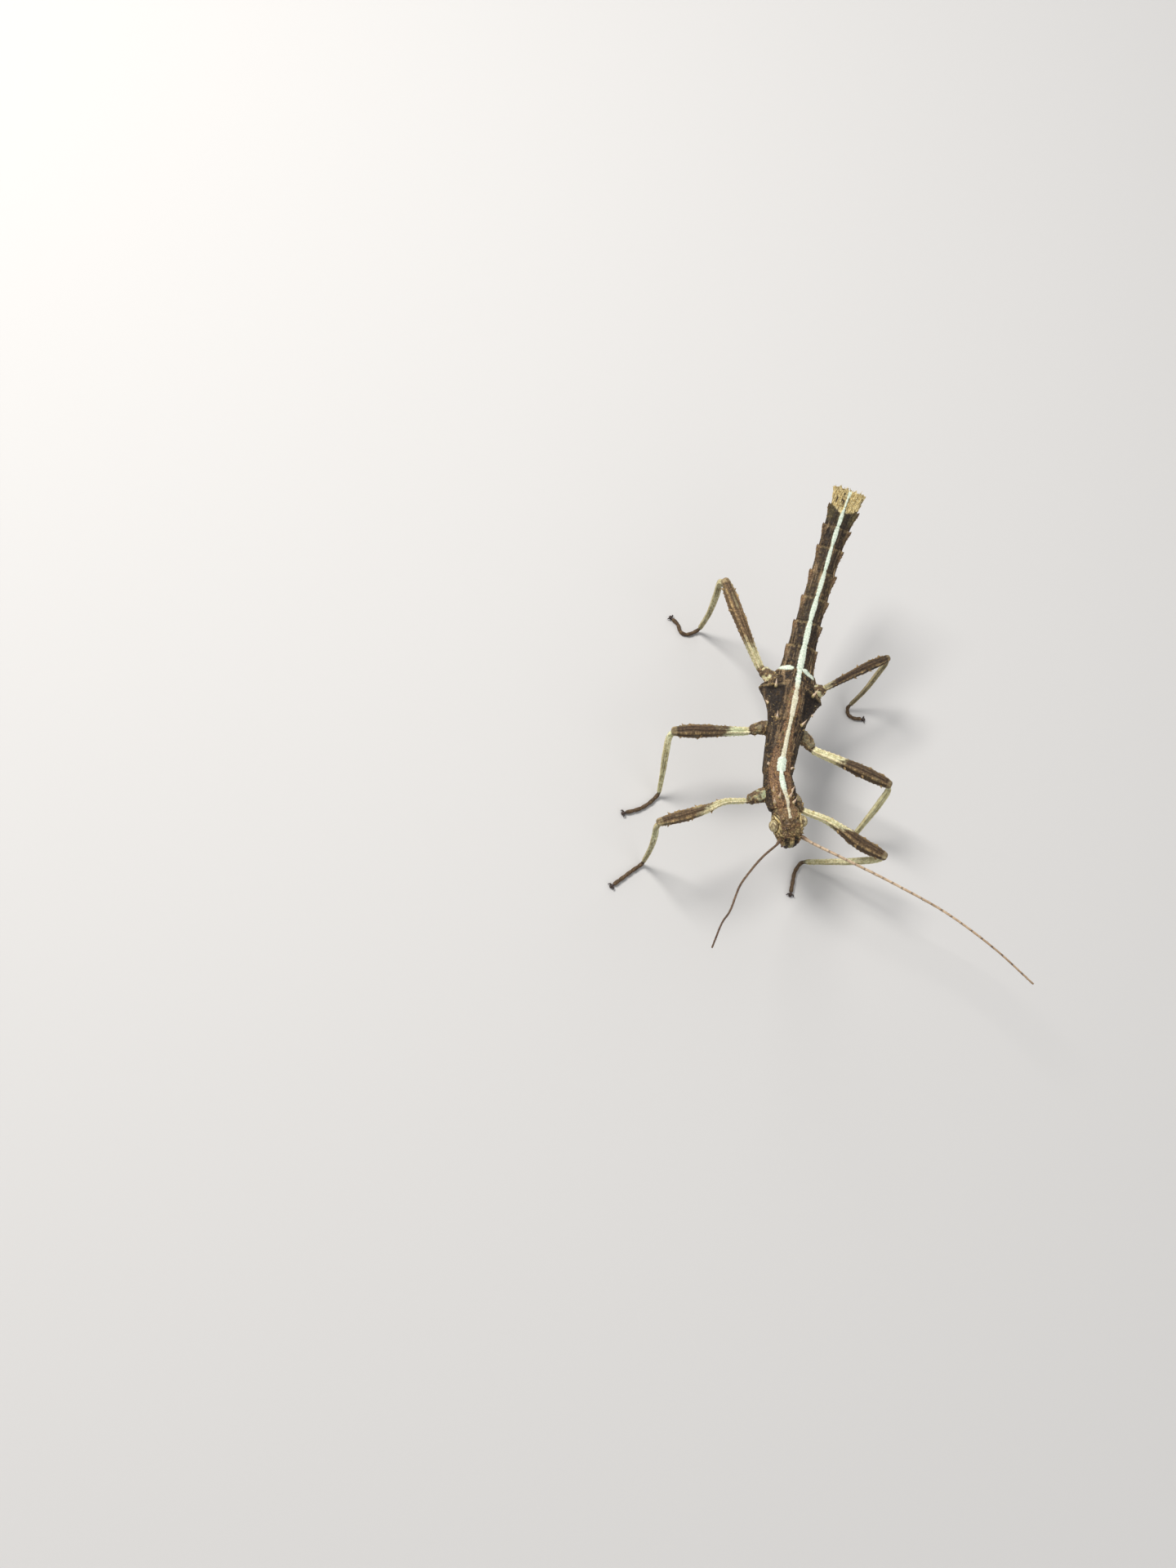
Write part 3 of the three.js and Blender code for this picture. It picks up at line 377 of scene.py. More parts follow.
class Skin:
    MARKS = ("stripe", "warm", "dark", "pale", "line", "tip", "green", "cream", "rose")

    def __init__(self):
        self.parts = []

    def add(self, p, bulge=(0.5, 0.5), **marks):
        """A tube of points closed by a rounded cap at each end, with marks held between 0 and 1."""
        marks = {name: clip01(np.broadcast_to(np.asarray(marks.get(name, 0), float), p.shape[:2]))
                 for name in self.MARKS}
        for end, inner_shade, push in ((0, 1, bulge[0]), (-1, -2, bulge[1])):
            ring = p[end]
            centre = ring.mean(axis=0)
            out = unit(centre - p[inner_shade].mean(axis=0)) * np.linalg.norm(ring - centre, axis=1).mean() * push
            caps = np.array([centre + (ring - centre) * math.cos(a) + out * math.sin(a) for a in CAP_ANGLES])
            p = np.concatenate([p, caps] if end else [caps[::-1], p])
            for name, value in marks.items():
                repeated = np.repeat(value[[end]], len(caps), axis=0)
                marks[name] = np.concatenate([value, repeated] if end else [repeated, value])
        self.parts.append((p, marks))

    def grow(self, tube, row, column, back, *size, **marks):
        """A spine from a place on a tube, which leans back along it."""
        spike(self, tube.p[row, column], tube.n[row, column] + back * tube.along[row], *size, **marks)

    def make(self, name, slot, nodes, paint):
        """One mesh: quads between the rings of each tube, a fan to a pole at each of its ends."""
        points, quads, fans, quad_uv, fan_uv = [], [], [], [], []
        first = 0
        for (p, _), (x, y, w, h) in zip(self.parts, self.places()):
            rows, columns = p.shape[:2]
            grid = first + np.arange(rows * columns).reshape(rows, columns)
            beside = np.roll(grid, -1, axis=1)
            quads.append(np.stack([grid[:-1], grid[1:], beside[1:], beside[:-1]], -1).reshape(-1, 4))
            u = x + w * (np.arange(rows + 2) / (rows + 1))
            v = y + h * (np.arange(columns + 1) / columns)
            uv = np.stack(np.meshgrid(u[1:-1], v, indexing="ij"), -1)
            quad_uv.append(np.stack([uv[:-1, :-1], uv[1:, :-1], uv[1:, 1:], uv[:-1, 1:]], -2).reshape(-1, 2))
            ends = (((grid[0], beside[0]), u[0], (uv[0, :-1], uv[0, 1:])),
                    ((beside[-1], grid[-1]), u[-1], (uv[-1, 1:], uv[-1, :-1])))
            for k, (ring, pole_u, ring_uv) in enumerate(ends):
                fans.append(np.stack([np.full(columns, first + rows * columns + k), *ring], -1))
                pole_uv = np.stack([np.full(columns, pole_u), 0.5 * (v[:-1] + v[1:])], -1)
                fan_uv.append(np.stack([pole_uv, *ring_uv], -2).reshape(-1, 2))
            points += [p.reshape(-1, 3), p[[0, -1]].mean(axis=1)]
            first += rows * columns + 2
        points = (np.concatenate(points) + TO_FLOOR_CENTRE) * MM
        quads, fans = np.concatenate(quads), np.concatenate(fans)
        mesh = bpy.data.meshes.new(name)
        mesh.from_pydata(points, [], quads.tolist() + fans.tolist())
        mesh.shade_smooth()
        mesh.uv_layers.new(name="OFBake").data.foreach_set("uv", np.concatenate(quad_uv + fan_uv).ravel())
        for mark in self.MARKS:
            value = np.concatenate([np.append(marks[mark], marks[mark][[0, -1]].mean(axis=1))
                                    for _, marks in self.parts])
            if value.any():
                mesh.attributes.new(mark, "FLOAT", "POINT").data.foreach_set("value", value)
        mesh.materials.append(paint)
        piece = add_object(name, mesh)
        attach(piece, "root")
        if nodes:
            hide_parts(*nodes)

    def places(self):
        """Rectangles on the unwrap, packed in shelves, each in proportion to its tube."""
        sizes = []
        for p, _ in self.parts:
            ring = p[len(p) // 2]
            length = np.linalg.norm(np.diff(p.mean(axis=1), axis=0), axis=1).sum() + SMALLEST_PLACE
            girth = np.linalg.norm(ring - np.roll(ring, 1, axis=0), axis=1).sum()
            sizes.append((length, max(girth, SMALLEST_PLACE)))
        gap = PLACE_GAP
        square = math.sqrt(sum(w * h for w, h in sizes))
        width = max(max(w for w, _ in sizes), SPACE_TO_SPARE * square) + 2 * gap
        x = y = gap
        shelf = 0
        places = [None] * len(sizes)
        for k in sorted(range(len(sizes)), key=lambda k: -sizes[k][1]):
            w, h = sizes[k]
            if x + w + gap > width:
                x, y, shelf = gap, y + shelf + gap, 0
            places[k] = (x, y, w, h)
            x += w + gap
            shelf = max(shelf, h)
        return np.array(places) / max(width, y + shelf + gap)


def spike(skin, root, lean, length, radius, bend=(0, 0, 0), columns=8, rows=7, flat=1.0, sink=0.15,
          taper=0.75, **marks):
    """A pointed spine from just inside the skin; a taper over 1 makes a thorn with a broad foot."""
    lean = unit(np.array(lean, float))
    side = unit(np.cross(lean, UP + 0.01))
    t = np.linspace(0, 1, rows)[:, None, None]
    a = np.linspace(0, 2 * math.pi, columns, endpoint=False)[None, :, None]
    line = np.array(root, float) + lean * ((length + sink) * t - sink) + np.array(bend, float) * t ** 2
    width = radius * (1 - t) ** taper + POINT_RADIUS
    skin.add(line + width * (np.cos(a) * side + flat * np.sin(a) * np.cross(side, lean)), (0.1, 0.6), **marks)


# ---- materials

def srgb(*rgb):
    return tuple(((c / 255 + 0.055) / 1.055) ** 2.4 if c > 10 else c / 255 / 12.92 for c in rgb) + (1.0,)


class Painter:
    """Builds one material: a mottled ground, then coats by mark, then roughness and bump."""

    def __init__(self, name):
        self.material = bpy.data.materials.new(name)
        self.material.use_nodes = True
        self.tree = self.material.node_tree
        self.shader = self.tree.nodes["Principled BSDF"]
        self.place = self.node("TexCoord", "Object")
        self.colour = None

    def feed(self, node, inputs):
        """Give inputs a number, a colour or the socket that leads to them."""
        for name, value in inputs.items():
            if isinstance(value, bpy.types.NodeSocket):
                self.tree.links.new(value, node.inputs[name])
            elif value is not None:
                node.inputs[name].default_value = value

    def node(self, kind, output, inputs=None, **settings):
        node = self.tree.nodes.new("ShaderNode" + kind)
        for name, value in settings.items():
            setattr(node, name, value)
        self.feed(node, inputs or {})
        return node.outputs[output]

    def noise(self, size, detail=3.0):
        inputs = {"Scale": 1 / (size * MM), "Detail": detail, "Vector": self.place}
        return self.node("TexNoise", "Fac", inputs)

    def cells(self, size):
        return self.node("TexVoronoi", "Distance", {"Scale": 1 / (size * MM), "Vector": self.place})

    def between(self, value, low, high, to_low=0.0, to_high=1.0):
        inputs = {"Value": value, "From Min": low, "From Max": high, "To Min": to_low, "To Max": to_high}
        return self.node("MapRange", "Result", inputs, interpolation_type="SMOOTHSTEP")

    def mix(self, factor, a, b, blend="MIX"):
        return self.node("Mix", 2, {"Factor": factor, 6: a, 7: b}, data_type="RGBA", blend_type=blend)

    def tones(self, dark, light, size, low, high):
        return self.mix(self.between(self.noise(size), low, high), srgb(*dark), srgb(*light))

    def ground(self, dark, light, size):
        self.colour = self.tones(dark, light, size, 0.38, 0.62)

    def coat(self, mark, dark, light, size, strength):
        """Paint where a mark is, in two tones."""
        mark = self.node("Attribute", "Fac", attribute_name=mark)
        amount = self.node("Math", "Value", {0: mark, 1: strength}, operation="MULTIPLY")
        self.colour = self.mix(amount, self.colour, self.tones(dark, light, size, 0.35, 0.65))

    def shade(self, size, low, high):
        """Make the colour lighter and darker by a fine noise."""
        grey = self.between(self.noise(size), 0.3, 0.7, low, high)
        grey = self.node("CombineColor", 0, {k: grey for k in range(3)})
        self.colour = self.mix(1.0, self.colour, grey, "MULTIPLY")

    def finish(self, roughness, specular, bumps):
        normal = None
        for kind, size, detail, depth in bumps:
            height = self.cells(size) if kind == "cells" else self.noise(size, detail)
            inputs = {"Strength": 1.0, "Distance": depth * MM, "Height": height, "Normal": normal}
            normal = self.node("Bump", "Normal", inputs)
        self.feed(self.shader, {
            "Base Color": self.colour, "Specular IOR Level": specular, "Normal": normal,
            "Roughness": self.between(self.noise(0.3), 0.3, 0.7, *roughness)})


# name: the ground's two tones and grain in mm, the coats and shades in order, roughness, specular, and the
# bumps as kind, size in mm, detail and depth in mm; a coat is a mark, two tones, grain in mm and strength
MATERIALS = {
    "body_skin": (((28, 20, 16), (62, 48, 34), 0.35), [
        ("line", (118, 95, 68), (182, 154, 116), 0.12, 0.95),
        ("warm", (84, 59, 42), (150, 115, 82), 0.18, 0.88),
        ("green", (96, 88, 52), (160, 146, 96), 0.2, 0.85),
        ("dark", (22, 17, 15), (49, 39, 30), 0.15, 0.92),
        ("tip", (141, 108, 67), (194, 159, 103), 0.2, 0.7),
        ("pale", (192, 166, 106), (232, 214, 160), 0.2, 1.0),
        ("shade", 0.09, 0.66, 1.28),
        ("stripe", (196, 212, 190), (232, 238, 222), 0.16, 1.0),
        ("cream", (190, 180, 148), (226, 218, 192), 0.2, 1.0),
        ("rose", (214, 180, 154), (240, 218, 196), 0.2, 0.9),
        ("shade", 0.14, 0.9, 1.06),
    ], (0.55, 0.85), 0.3, [("cells", 0.11, None, -0.012), ("noise", 0.05, 4, 0.02)]),
    "leg_skin": (((54, 42, 32), (106, 85, 62), 0.3), [
        ("warm", (112, 87, 60), (170, 140, 102), 0.2, 0.88),
        ("pale", (198, 187, 136), (234, 228, 184), 0.4, 1.0),
        ("green", (174, 192, 150), (212, 224, 188), 0.4, 0.9),
        ("line", (61, 46, 28), (88, 67, 39), 0.2, 0.85),
        ("dark", (35, 25, 19), (59, 43, 31), 0.25, 0.92),
        ("tip", (184, 150, 95), (222, 192, 131), 0.2, 0.9),
        ("cream", (204, 176, 144), (230, 208, 176), 0.2, 0.9),
        ("shade", 0.1, 0.78, 1.24),
    ], (0.5, 0.8), 0.3, [("cells", 0.12, None, -0.01), ("noise", 0.06, 4, 0.016)]),
    "feeler_skin": (((158, 128, 98), (190, 160, 126), 0.6), [
        ("pale", (196, 170, 140), (220, 198, 168), 0.4, 0.9),
        ("warm", (78, 60, 44), (112, 88, 64), 0.4, 0.95),
        ("dark", (58, 41, 34), (86, 62, 50), 0.2, 0.95),
        ("shade", 0.12, 0.85, 1.12),
    ], (0.5, 0.7), 0.35, [("noise", 0.05, 4, 0.01)]),
    "eye_facets": (((160, 144, 102), (202, 188, 146), 0.25), [
        ("line", (92, 76, 50), (132, 112, 78), 0.12, 0.85),
        ("dark", (74, 56, 44), (112, 88, 66), 0.15, 0.8),
        ("shade", 0.08, 0.8, 1.12),
    ], (0.42, 0.55), 0.4, [("cells", 0.06, None, -0.008)]),
    "mouth_skin": (((47, 31, 21), (86, 56, 36), 0.2), [
        ("green", (114, 109, 75), (175, 163, 116), 0.2, 0.9),
        ("warm", (131, 81, 54), (180, 121, 82), 0.2, 0.9),
        ("dark", (20, 13, 10), (41, 26, 18), 0.15, 0.95),
        ("shade", 0.08, 0.8, 1.15),
    ], (0.35, 0.6), 0.5, [("noise", 0.05, 4, 0.012)]),
    "claw_horn": (((42, 29, 23), (76, 54, 42), 0.2), [
        ("dark", (20, 14, 11), (34, 24, 19), 0.15, 0.95),
        ("pale", (120, 98, 74), (150, 126, 98), 0.15, 0.9),
        ("shade", 0.08, 0.85, 1.15),
    ], (0.3, 0.5), 0.5, [("noise", 0.05, 3, 0.008)]),
}


def material(name):
    ground, layers, *finish = MATERIALS[name]
    paint = Painter(name)
    paint.ground(*ground)
    for mark, *numbers in layers:
        if mark == "shade":
            paint.shade(*numbers)
        else:
            paint.coat(mark, *numbers)
    paint.finish(*finish)
    return paint.material


# ---- body

BODY_ROWS, BODY_COLUMNS = 880, 168
SEAM = 0.07  # half of the step between segments
MEDIAN, FIRST_TOOTHED, LAST_TOOTHED, LAST = (
    NUMBER[name] for name in ("median_segment", "abdomen_2", "abdomen_8", "abdomen_9"))
WAIST = 18.9  # places along the body in mm: where the abdomen begins and where the straw-coloured tail does
TAIL = 39.5
RIB = 0.42  # spacing of the cross ribs of the stripe


def body_profile(which, s):
    """Half width, rise or depth at places along the body, with the steps where segments overlap."""
    places, values = [], []
    for start, (_, length, *shape) in zip(STARTS, SEGMENTS):
        share = np.linspace(0, 1, len(shape[which]))
        places.extend(start + length * share + SEAM * (share == 0) - SEAM * (share == 1))
        values.extend(shape[which])
    fine = np.linspace(0, BODY_LENGTH, 2400)
    return np.interp(s, fine, blurred(np.interp(fine, places, values), 7, 24))


def share_in_segment(s):
    k = np.clip(np.searchsorted(STARTS, s, side="right") - 1, 0, LAST)
    return k, (s - STARTS[k]) / LENGTHS[k]


def stripe_half(s, share):
    """Half width of the white line down the back."""
    places = [0, 0.8, 1.5, 2.1, 2.4, 3.5, 4.2, 4.5, 4.62, 4.8, 6.2, 6.4, 7.5, 9.5, 11, 11.8, 12.4, 13.5, 14.3,
              15.2, 15.9, 16.4, 17.3, 18.2, WAIST]
    widths = [0.16, 0.22, 0.25, 0.3, 0.38, 0.38, 0.25, 0.22, 0.55, 0.6, 0.56, 0.3, 0.26, 0.22, 0.18, 0.2, 0.3,
              0.3, 0.36, 0.28, 0.19, 0.28, 0.36, 0.28, 0.34]
    thorax = np.interp(s, places, widths)
    places = [WAIST, 22, 25.4, 29, 32, 35, 38, 40.5, 42.3]
    narrow = np.interp(s, places, [0.42, 0.32, 0.26, 0.2, 0.17, 0.15, 0.18, 0.1, 0.08])
    wide = np.interp(s, places, [0.5, 0.4, 0.37, 0.32, 0.27, 0.25, 0.34, 0.16, 0.1])
    abdomen = narrow + (wide - narrow) * np.sin(math.pi * clip01(share * 0.95)) ** 0.8
    return np.where(s < WAIST, thorax, abdomen + 0.2 * bell(s - 42.35, 0.28))


def white_bars(s, w, ragged):
    """Two white bars across the base of the abdomen: side, near and far end, and slope of each."""
    bars = np.zeros_like(s)
    for hand, inner_shade, outer, tilt in ((-1, 0.75, 3.0, 0.02), (1, 0.35, 2.5, 0.2)):
        lateral = hand * w
        place = clip01((lateral - inner_shade) / (outer - inner_shade))
        thick = 0.34 * np.sqrt(clip01(np.sin(math.pi * np.clip(place, 0.02, 0.9) ** 0.7)))
        centre = 18.95 - tilt * (lateral - inner_shade)
        inside = band(lateral, inner_shade, inner_shade + 0.1, outer - 0.1, outer)
        bars = np.maximum(bars, ramp(thick + ragged - np.abs(s - centre), -0.02, 0.06) * inside)
    return bars


def body_skin(skin):
    s = np.linspace(0, BODY_LENGTH, BODY_ROWS)
    half, rise, depth = (body_profile(k, s) for k in range(3))
    tube = Tube(Line(RIDGE), half, BODY_ROWS, BODY_COLUMNS, rise, depth, (BACK_ROUNDING, BELLY_ROUNDING),
                drop=1)
    s, w, chart = tube.s, tube.w, tube.chart()
    out = np.abs(w)
    k, share = share_in_segment(s)
    widest = np.abs(np.abs(tube.angle) - math.pi / 2).argmin(axis=1)[:, None]
    q = out / np.take_along_axis(out, widest, 1)  # 0 on the ridge, 1 on the widest line
    back = fall(q, 0.98, 1.12)
    abdomen = ramp(s, 18.2, 19.2)
    tail = ramp(s - 0.55 * out + 0.3 * rough(chart, 0.3, 6), TAIL, TAIL + 0.3)
    jitter = rough(chart, 0.35, 5)

    # the line runs a little to the left of the ridge on the twisted prothorax
    aside = np.abs(w - np.interp(s, [0, 0.6, 1.2, 1.8, 2.6], [0.36, 0.34, 0.26, 0.1, 0]))
    cross_ribs = wave(s, RIB, 3 * noise(chart, 0.8, 3))
    half = stripe_half(s, share) * (1 + 0.05 * cross_ribs) + 0.05 * rough(chart, 0.28, 4)
    stripe = ramp(half - aside, -0.03, 0.04)
    cream = stripe * clip01(band(s, 6.2, 6.6, 15.5, 17.5) * 0.85 + fall(s, 1.4, 2.6))
    bars = white_bars(s, w, 0.09 * jitter + 0.05 * rough(chart, 0.14, 15))
    white = np.maximum(stripe, bars)

    # the rusty ridge and the dark bands and shields beside it
    rust_half = np.interp(s, [0, 3.5, 4.6, 5, 8, 10.6, 11.4, 12.4, 14, 15.6, 16.6, 17.2],
                          [1.5, 1.7, 1.8, 1.7, 1.25, 0.85, 0.55, 0.75, 1.05, 0.75, 0.5, 0])
    warm = ramp(rust_half + 0.25 * jitter - out, -0.15, 0.2) * fall(s, 16.6, 17.4)
    shield_in = np.interp(s, [12.2, 14, 16.4], [1.8, 1.55, 1.4])
    shield_out = np.interp(s, [12.2, 14, 16.4], [2.3, 3.1, 4.3])
    inward = ramp(out - shield_in, -0.3, 0.35) * fall(out - shield_out, -0.6, 0.1)
    hollow = inward * band(s, 12.1, 13.0, 15.9, 16.4)
    shield = (ramp(out - shield_in + 0.1 * jitter, -0.1, 0.1) * fall(out - shield_out, -0.1, 0.2)
              * band(s, 12.1, 12.4, 16.25, 16.45))
    shield_edge = bell(s - 16.6, 0.16) * ramp(out, 1.2, 1.6) * back
    purple = (ramp(out, 1.75, 2.1) * fall(s, 3.9, 4.6) + ramp(s, 38.1, 38.6) * (1 - tail)) * back
    flank = ramp(out, 1.2, 1.9) * band(s, 4.6, 5.6, 11.4, 12.2) * 0.55
    beside = bell(out - 0.75, 0.35) * abdomen * (1 - tail) * (0.45 + 0.35 * ramp(w, -0.2, 0.4))
    dark = clip01(np.maximum(shield, 0.6 * purple + flank + beside))

    # long fibres, scattered grains, rims at the rear of each segment
    gutter = bell(out - rust_half, 0.16) * band(s, 4.4, 5.2, 16.0, 16.6)
    fibre = tube.fibres(1.3, 0.13, 21)
    coarse = tube.fibres(2.6, 0.42, 31)
    straw = tube.fibres(1.8, 0.22, 91)
    rim = np.where(k < MEDIAN, 0.6 * bell((share - 0.97) * 4, 0.2), bell((share - 0.955) * 3.2, 0.13))
    groove = bell(np.minimum(share, 1 - share) * 3.5, 0.1)
    grains = pebbles(tube, (5200, (0.06, 0.12), (0.02, 0.05)), (900, (0.1, 0.2), (0.04, 0.09), 2.6))
    grains = grains * (1 - 0.75 * white) * (0.35 + 0.65 * back)
    grains = grains * np.interp(s, [18, 20, 42], [1, 0.6, 0.5])
    toothed = (k >= FIRST_TOOTHED) & (k <= LAST_TOOTHED)
    flare = clip01((share - 0.25) / 0.68) * fall(share, 0.95, 0.985) * bell(q - 1, 0.25) * toothed
    carina = sum(bell(q - at, 0.035) for at in (0.36, 0.62, 0.86)) * abdomen
    ribs = wave(out, 0.22, 1.6 * noise(chart, 0.8, 8)) * shield
    keel = ramp(half - aside, -0.12, 0.1)
    tube.swell(
        0.028 * fibre * (0.4 + 0.6 * back) + 0.045 * coarse + 0.02 * jitter + grains
        + 0.05 * carina * (1 + noise(chart, 0.5, 44)) + 0.035 * ribs - 0.28 * hollow - 0.1 * gutter
        + 0.1 * shield_edge + 0.14 * flare + (0.05 + 0.012 * cross_ribs) * keel + 0.07 * bars
        + 0.045 * rim * back * (k < LAST) - 0.07 * groove * (0.5 + 0.5 * back) + 0.06 * tail * straw - 0.05)
    dark = clip01(dark + 0.75 * warm * ramp(-fibre - 0.5 * coarse, 0.2, 0.55))
    lines = ramp(fibre + 0.35 * coarse, 0.1, 0.4) * (0.55 + 0.6 * noise(chart, 1.2, 61))
    specks = ramp(rough(chart, 0.22, 71), 0.12, 0.42)
    green = specks * np.maximum(warm * ramp(s, 5.5, 7.5), 0.3 * abdomen) + 0.6 * purple * ramp(s, 38, 39)
    cross = bell((share - 0.92 + 0.03 * jitter) * 3.2, 0.14) * (k >= MEDIAN) * (k < LAST_TOOTHED)
    cross = cross * ramp(jitter, -0.3, 0.2) * np.interp(s, [18, 30, 40], [0.75, 0.5, 0.25])
    cross = cross + 0.5 * shield_edge * ramp(jitter, -0.4, 0.1)
    margin = ramp(q, 0.62, 0.9) * back * abdomen * ramp(share, 0.25, 0.9) * (1 - tail)
    margin = margin * (1 + 0.8 * (w < 0) * bell(s - 29.5, 4.5)) * (1 - 0.5 * ramp(s, 35, 38))
    light = lines * (1 - 0.6 * dark) + 0.12 * back * bell(s - 31, 4.5)
    light = light + 0.5 * margin * ramp(jitter, -0.2, 0.3)
    skin.add(
        tube.p, (0.2, -0.35), stripe=white, cream=cream, dark=dark, green=green,
        warm=warm * (1 - 0.55 * lines) + 0.5 * margin + 0.6 * cross,
        line=clip01(light) * (0.5 + 0.5 * back),
        tip=clip01(grains / 0.07) * (0.3 + 0.5 * ramp(noise(chart, 0.9, 81), -0.2, 0.5)) * (1 - 0.5 * dark),
        pale=0.95 * tail * ramp(straw, -0.5, 0.1) + 0.4 * cross * back)
    return tube


def thorn_lean(up, out, round_share):
    """Spines near the ridge point up, those near the widest line outward."""
    turn = round_share ** 2.5
    return up * (1 - 0.75 * turn) + out * (0.15 + 0.85 * turn)


def body_spines(skin, tube):
    def seat(place, round_share, hand):
        row = int(np.argmin(np.abs(tube.s[:, 0] - place)))
        column = tube.column(row, 90 * hand * round_share)
        return tube.p[row, column], tube.up[row], tube.left[row] * hand, tube.along[row]

    rise = np.linspace(0, 1, 12)[:, None]
    for name, share, round_share, length in THORAX_SPINES:
        k = NUMBER[name]
        for hand in (-1, 1):
            root, up, out, along = seat(STARTS[k] + LENGTHS[k] * share, round_share, hand)
            lean = thorn_lean(up, out, round_share) + 0.2 * along
            size = length * draw(0.92, 1.0)
            spike(skin, root, lean, 0.85 * size, 0.24, 0.3 * (along + 0.3 * up) * size, 12, len(rise),
                  sink=0.2, taper=1.1, pale=0.2 + 0.7 * ramp(rise, 0.05, 0.3), rose=ramp(rise, 0.2, 0.55))
            for _ in range(2):
                beside = root + jolt(0.25) * (1, 1, 0.3)
                spike(skin, beside, lean + jolt(0.4), 0.18, 0.1, taper=1.0, pale=0.35, tip=0.8)
    for k in range(FIRST_TOOTHED, LAST_TOOTHED + 1):
        for hand in (-1, 1):
            root, up, out, along = seat(STARTS[k] + LENGTHS[k] * 0.9, 0.97, hand)
            spike(skin, root - 0.16 * out, 0.1 * up + 0.5 * out + along, 0.36, 0.24, columns=12, flat=0.5,
                  taper=0.8, line=0.2, warm=0.3)
            for share in (0.35, 0.6, 0.75):
                root, up, out, along = seat(STARTS[k] + LENGTHS[k] * share, 0.97, hand)
                spike(skin, root, out + 1.2 * along, draw(0.1, 0.2), 0.07, line=0.4, tip=0.5)
    # the pale comb along the sides of the thorax
    for place in np.arange(0.5, 18.4, 0.42):
        for hand in (-1, 1):
            for round_share in (0.8, 1.02):
                if draw() < 0.6:
                    continue
                root, up, out, along = seat(place + draw(-0.15, 0.15),
                                            round_share + draw(-0.08, 0.08), hand)
                lean = out + 0.3 * up + 0.3 * along + jolt(0.25)
                spike(skin, root, lean, draw(0.06, 0.17), 0.08, columns=6, rows=6, taper=1.0,
                      pale=draw(0, 0.5), tip=0.5)


def tail_fringe(tube):
    """Straw-coloured fibres and blunt lobes that fan out round the end of the abdomen."""
    skin = Skin()
    rear = tube.p[-1]
    centre = rear.mean(axis=0)
    along, up, left = tube.along[-1], tube.up[-1], tube.left[-1]
    for layer, (inset, length, count) in enumerate(((0.0, 0.7, 64), (0.12, 0.9, 54), (0.28, 0.8, 40))):
        for k in range(count):
            edge = rear[int((k + draw(0.05, 0.95)) / count * BODY_COLUMNS) % BODY_COLUMNS]
            root = edge + (centre - edge) * (inset + draw(0, 0.08))
            across = (edge - centre) @ left
            below = (edge - centre) @ up < -0.1
            size = length * draw(0.3, 0.95) * (0.6 if below else 1.0) * (1 - 0.12 * layer)
            lean = along + left * 0.2 * across + jolt(0.16) + up * (-0.05 if below else 0.05)
            spike(skin, root - 0.35 * along, lean, size, draw(0.06, 0.13), jolt(0.1),
                  columns=8, rows=8, flat=draw(0.45, 0.9), sink=0.1, pale=draw(0.65, 1.0),
                  line=draw(0, 0.5), green=0.35 * (across < -0.2), warm=draw(0, 0.3))
    # loose scales over the last segment
    for _ in range(120):
        row = random.integers(BODY_ROWS - 50, BODY_ROWS - 8)
        column = random.integers(int(BODY_COLUMNS * 0.22), int(BODY_COLUMNS * 0.78))
        out = abs(tube.w[row, column])
        if tube.s[row, 0] - 0.55 * out < TAIL + 0.25 or out < 0.25:
            continue
        normal = tube.n[row, column]
        lean = tube.along[row] + 0.25 * normal + jolt(0.08)
        spike(skin, tube.p[row, column] - 0.03 * normal, lean, draw(0.3, 0.7), draw(0.06, 0.12),
              0.05 * normal, flat=0.5, sink=0.05,
              pale=draw(0.65, 1.0), line=draw(0, 0.5), warm=draw(0, 0.25))
    return skin


# ---- head

HEAD_TURN = np.array((Matrix.Rotation(math.radians(HEAD_YAW), 3, "Z")
                      @ Matrix.Rotation(math.radians(HEAD_PITCH), 3, "X")))
HEAD_ROWS, HEAD_COLUMNS = 170, 208


def from_head(p):
    """Points in the head's own frame (left, backward, up) to the thorax's."""
    return np.asarray(p, float) @ HEAD_TURN.T + np.array(HEAD_AT)


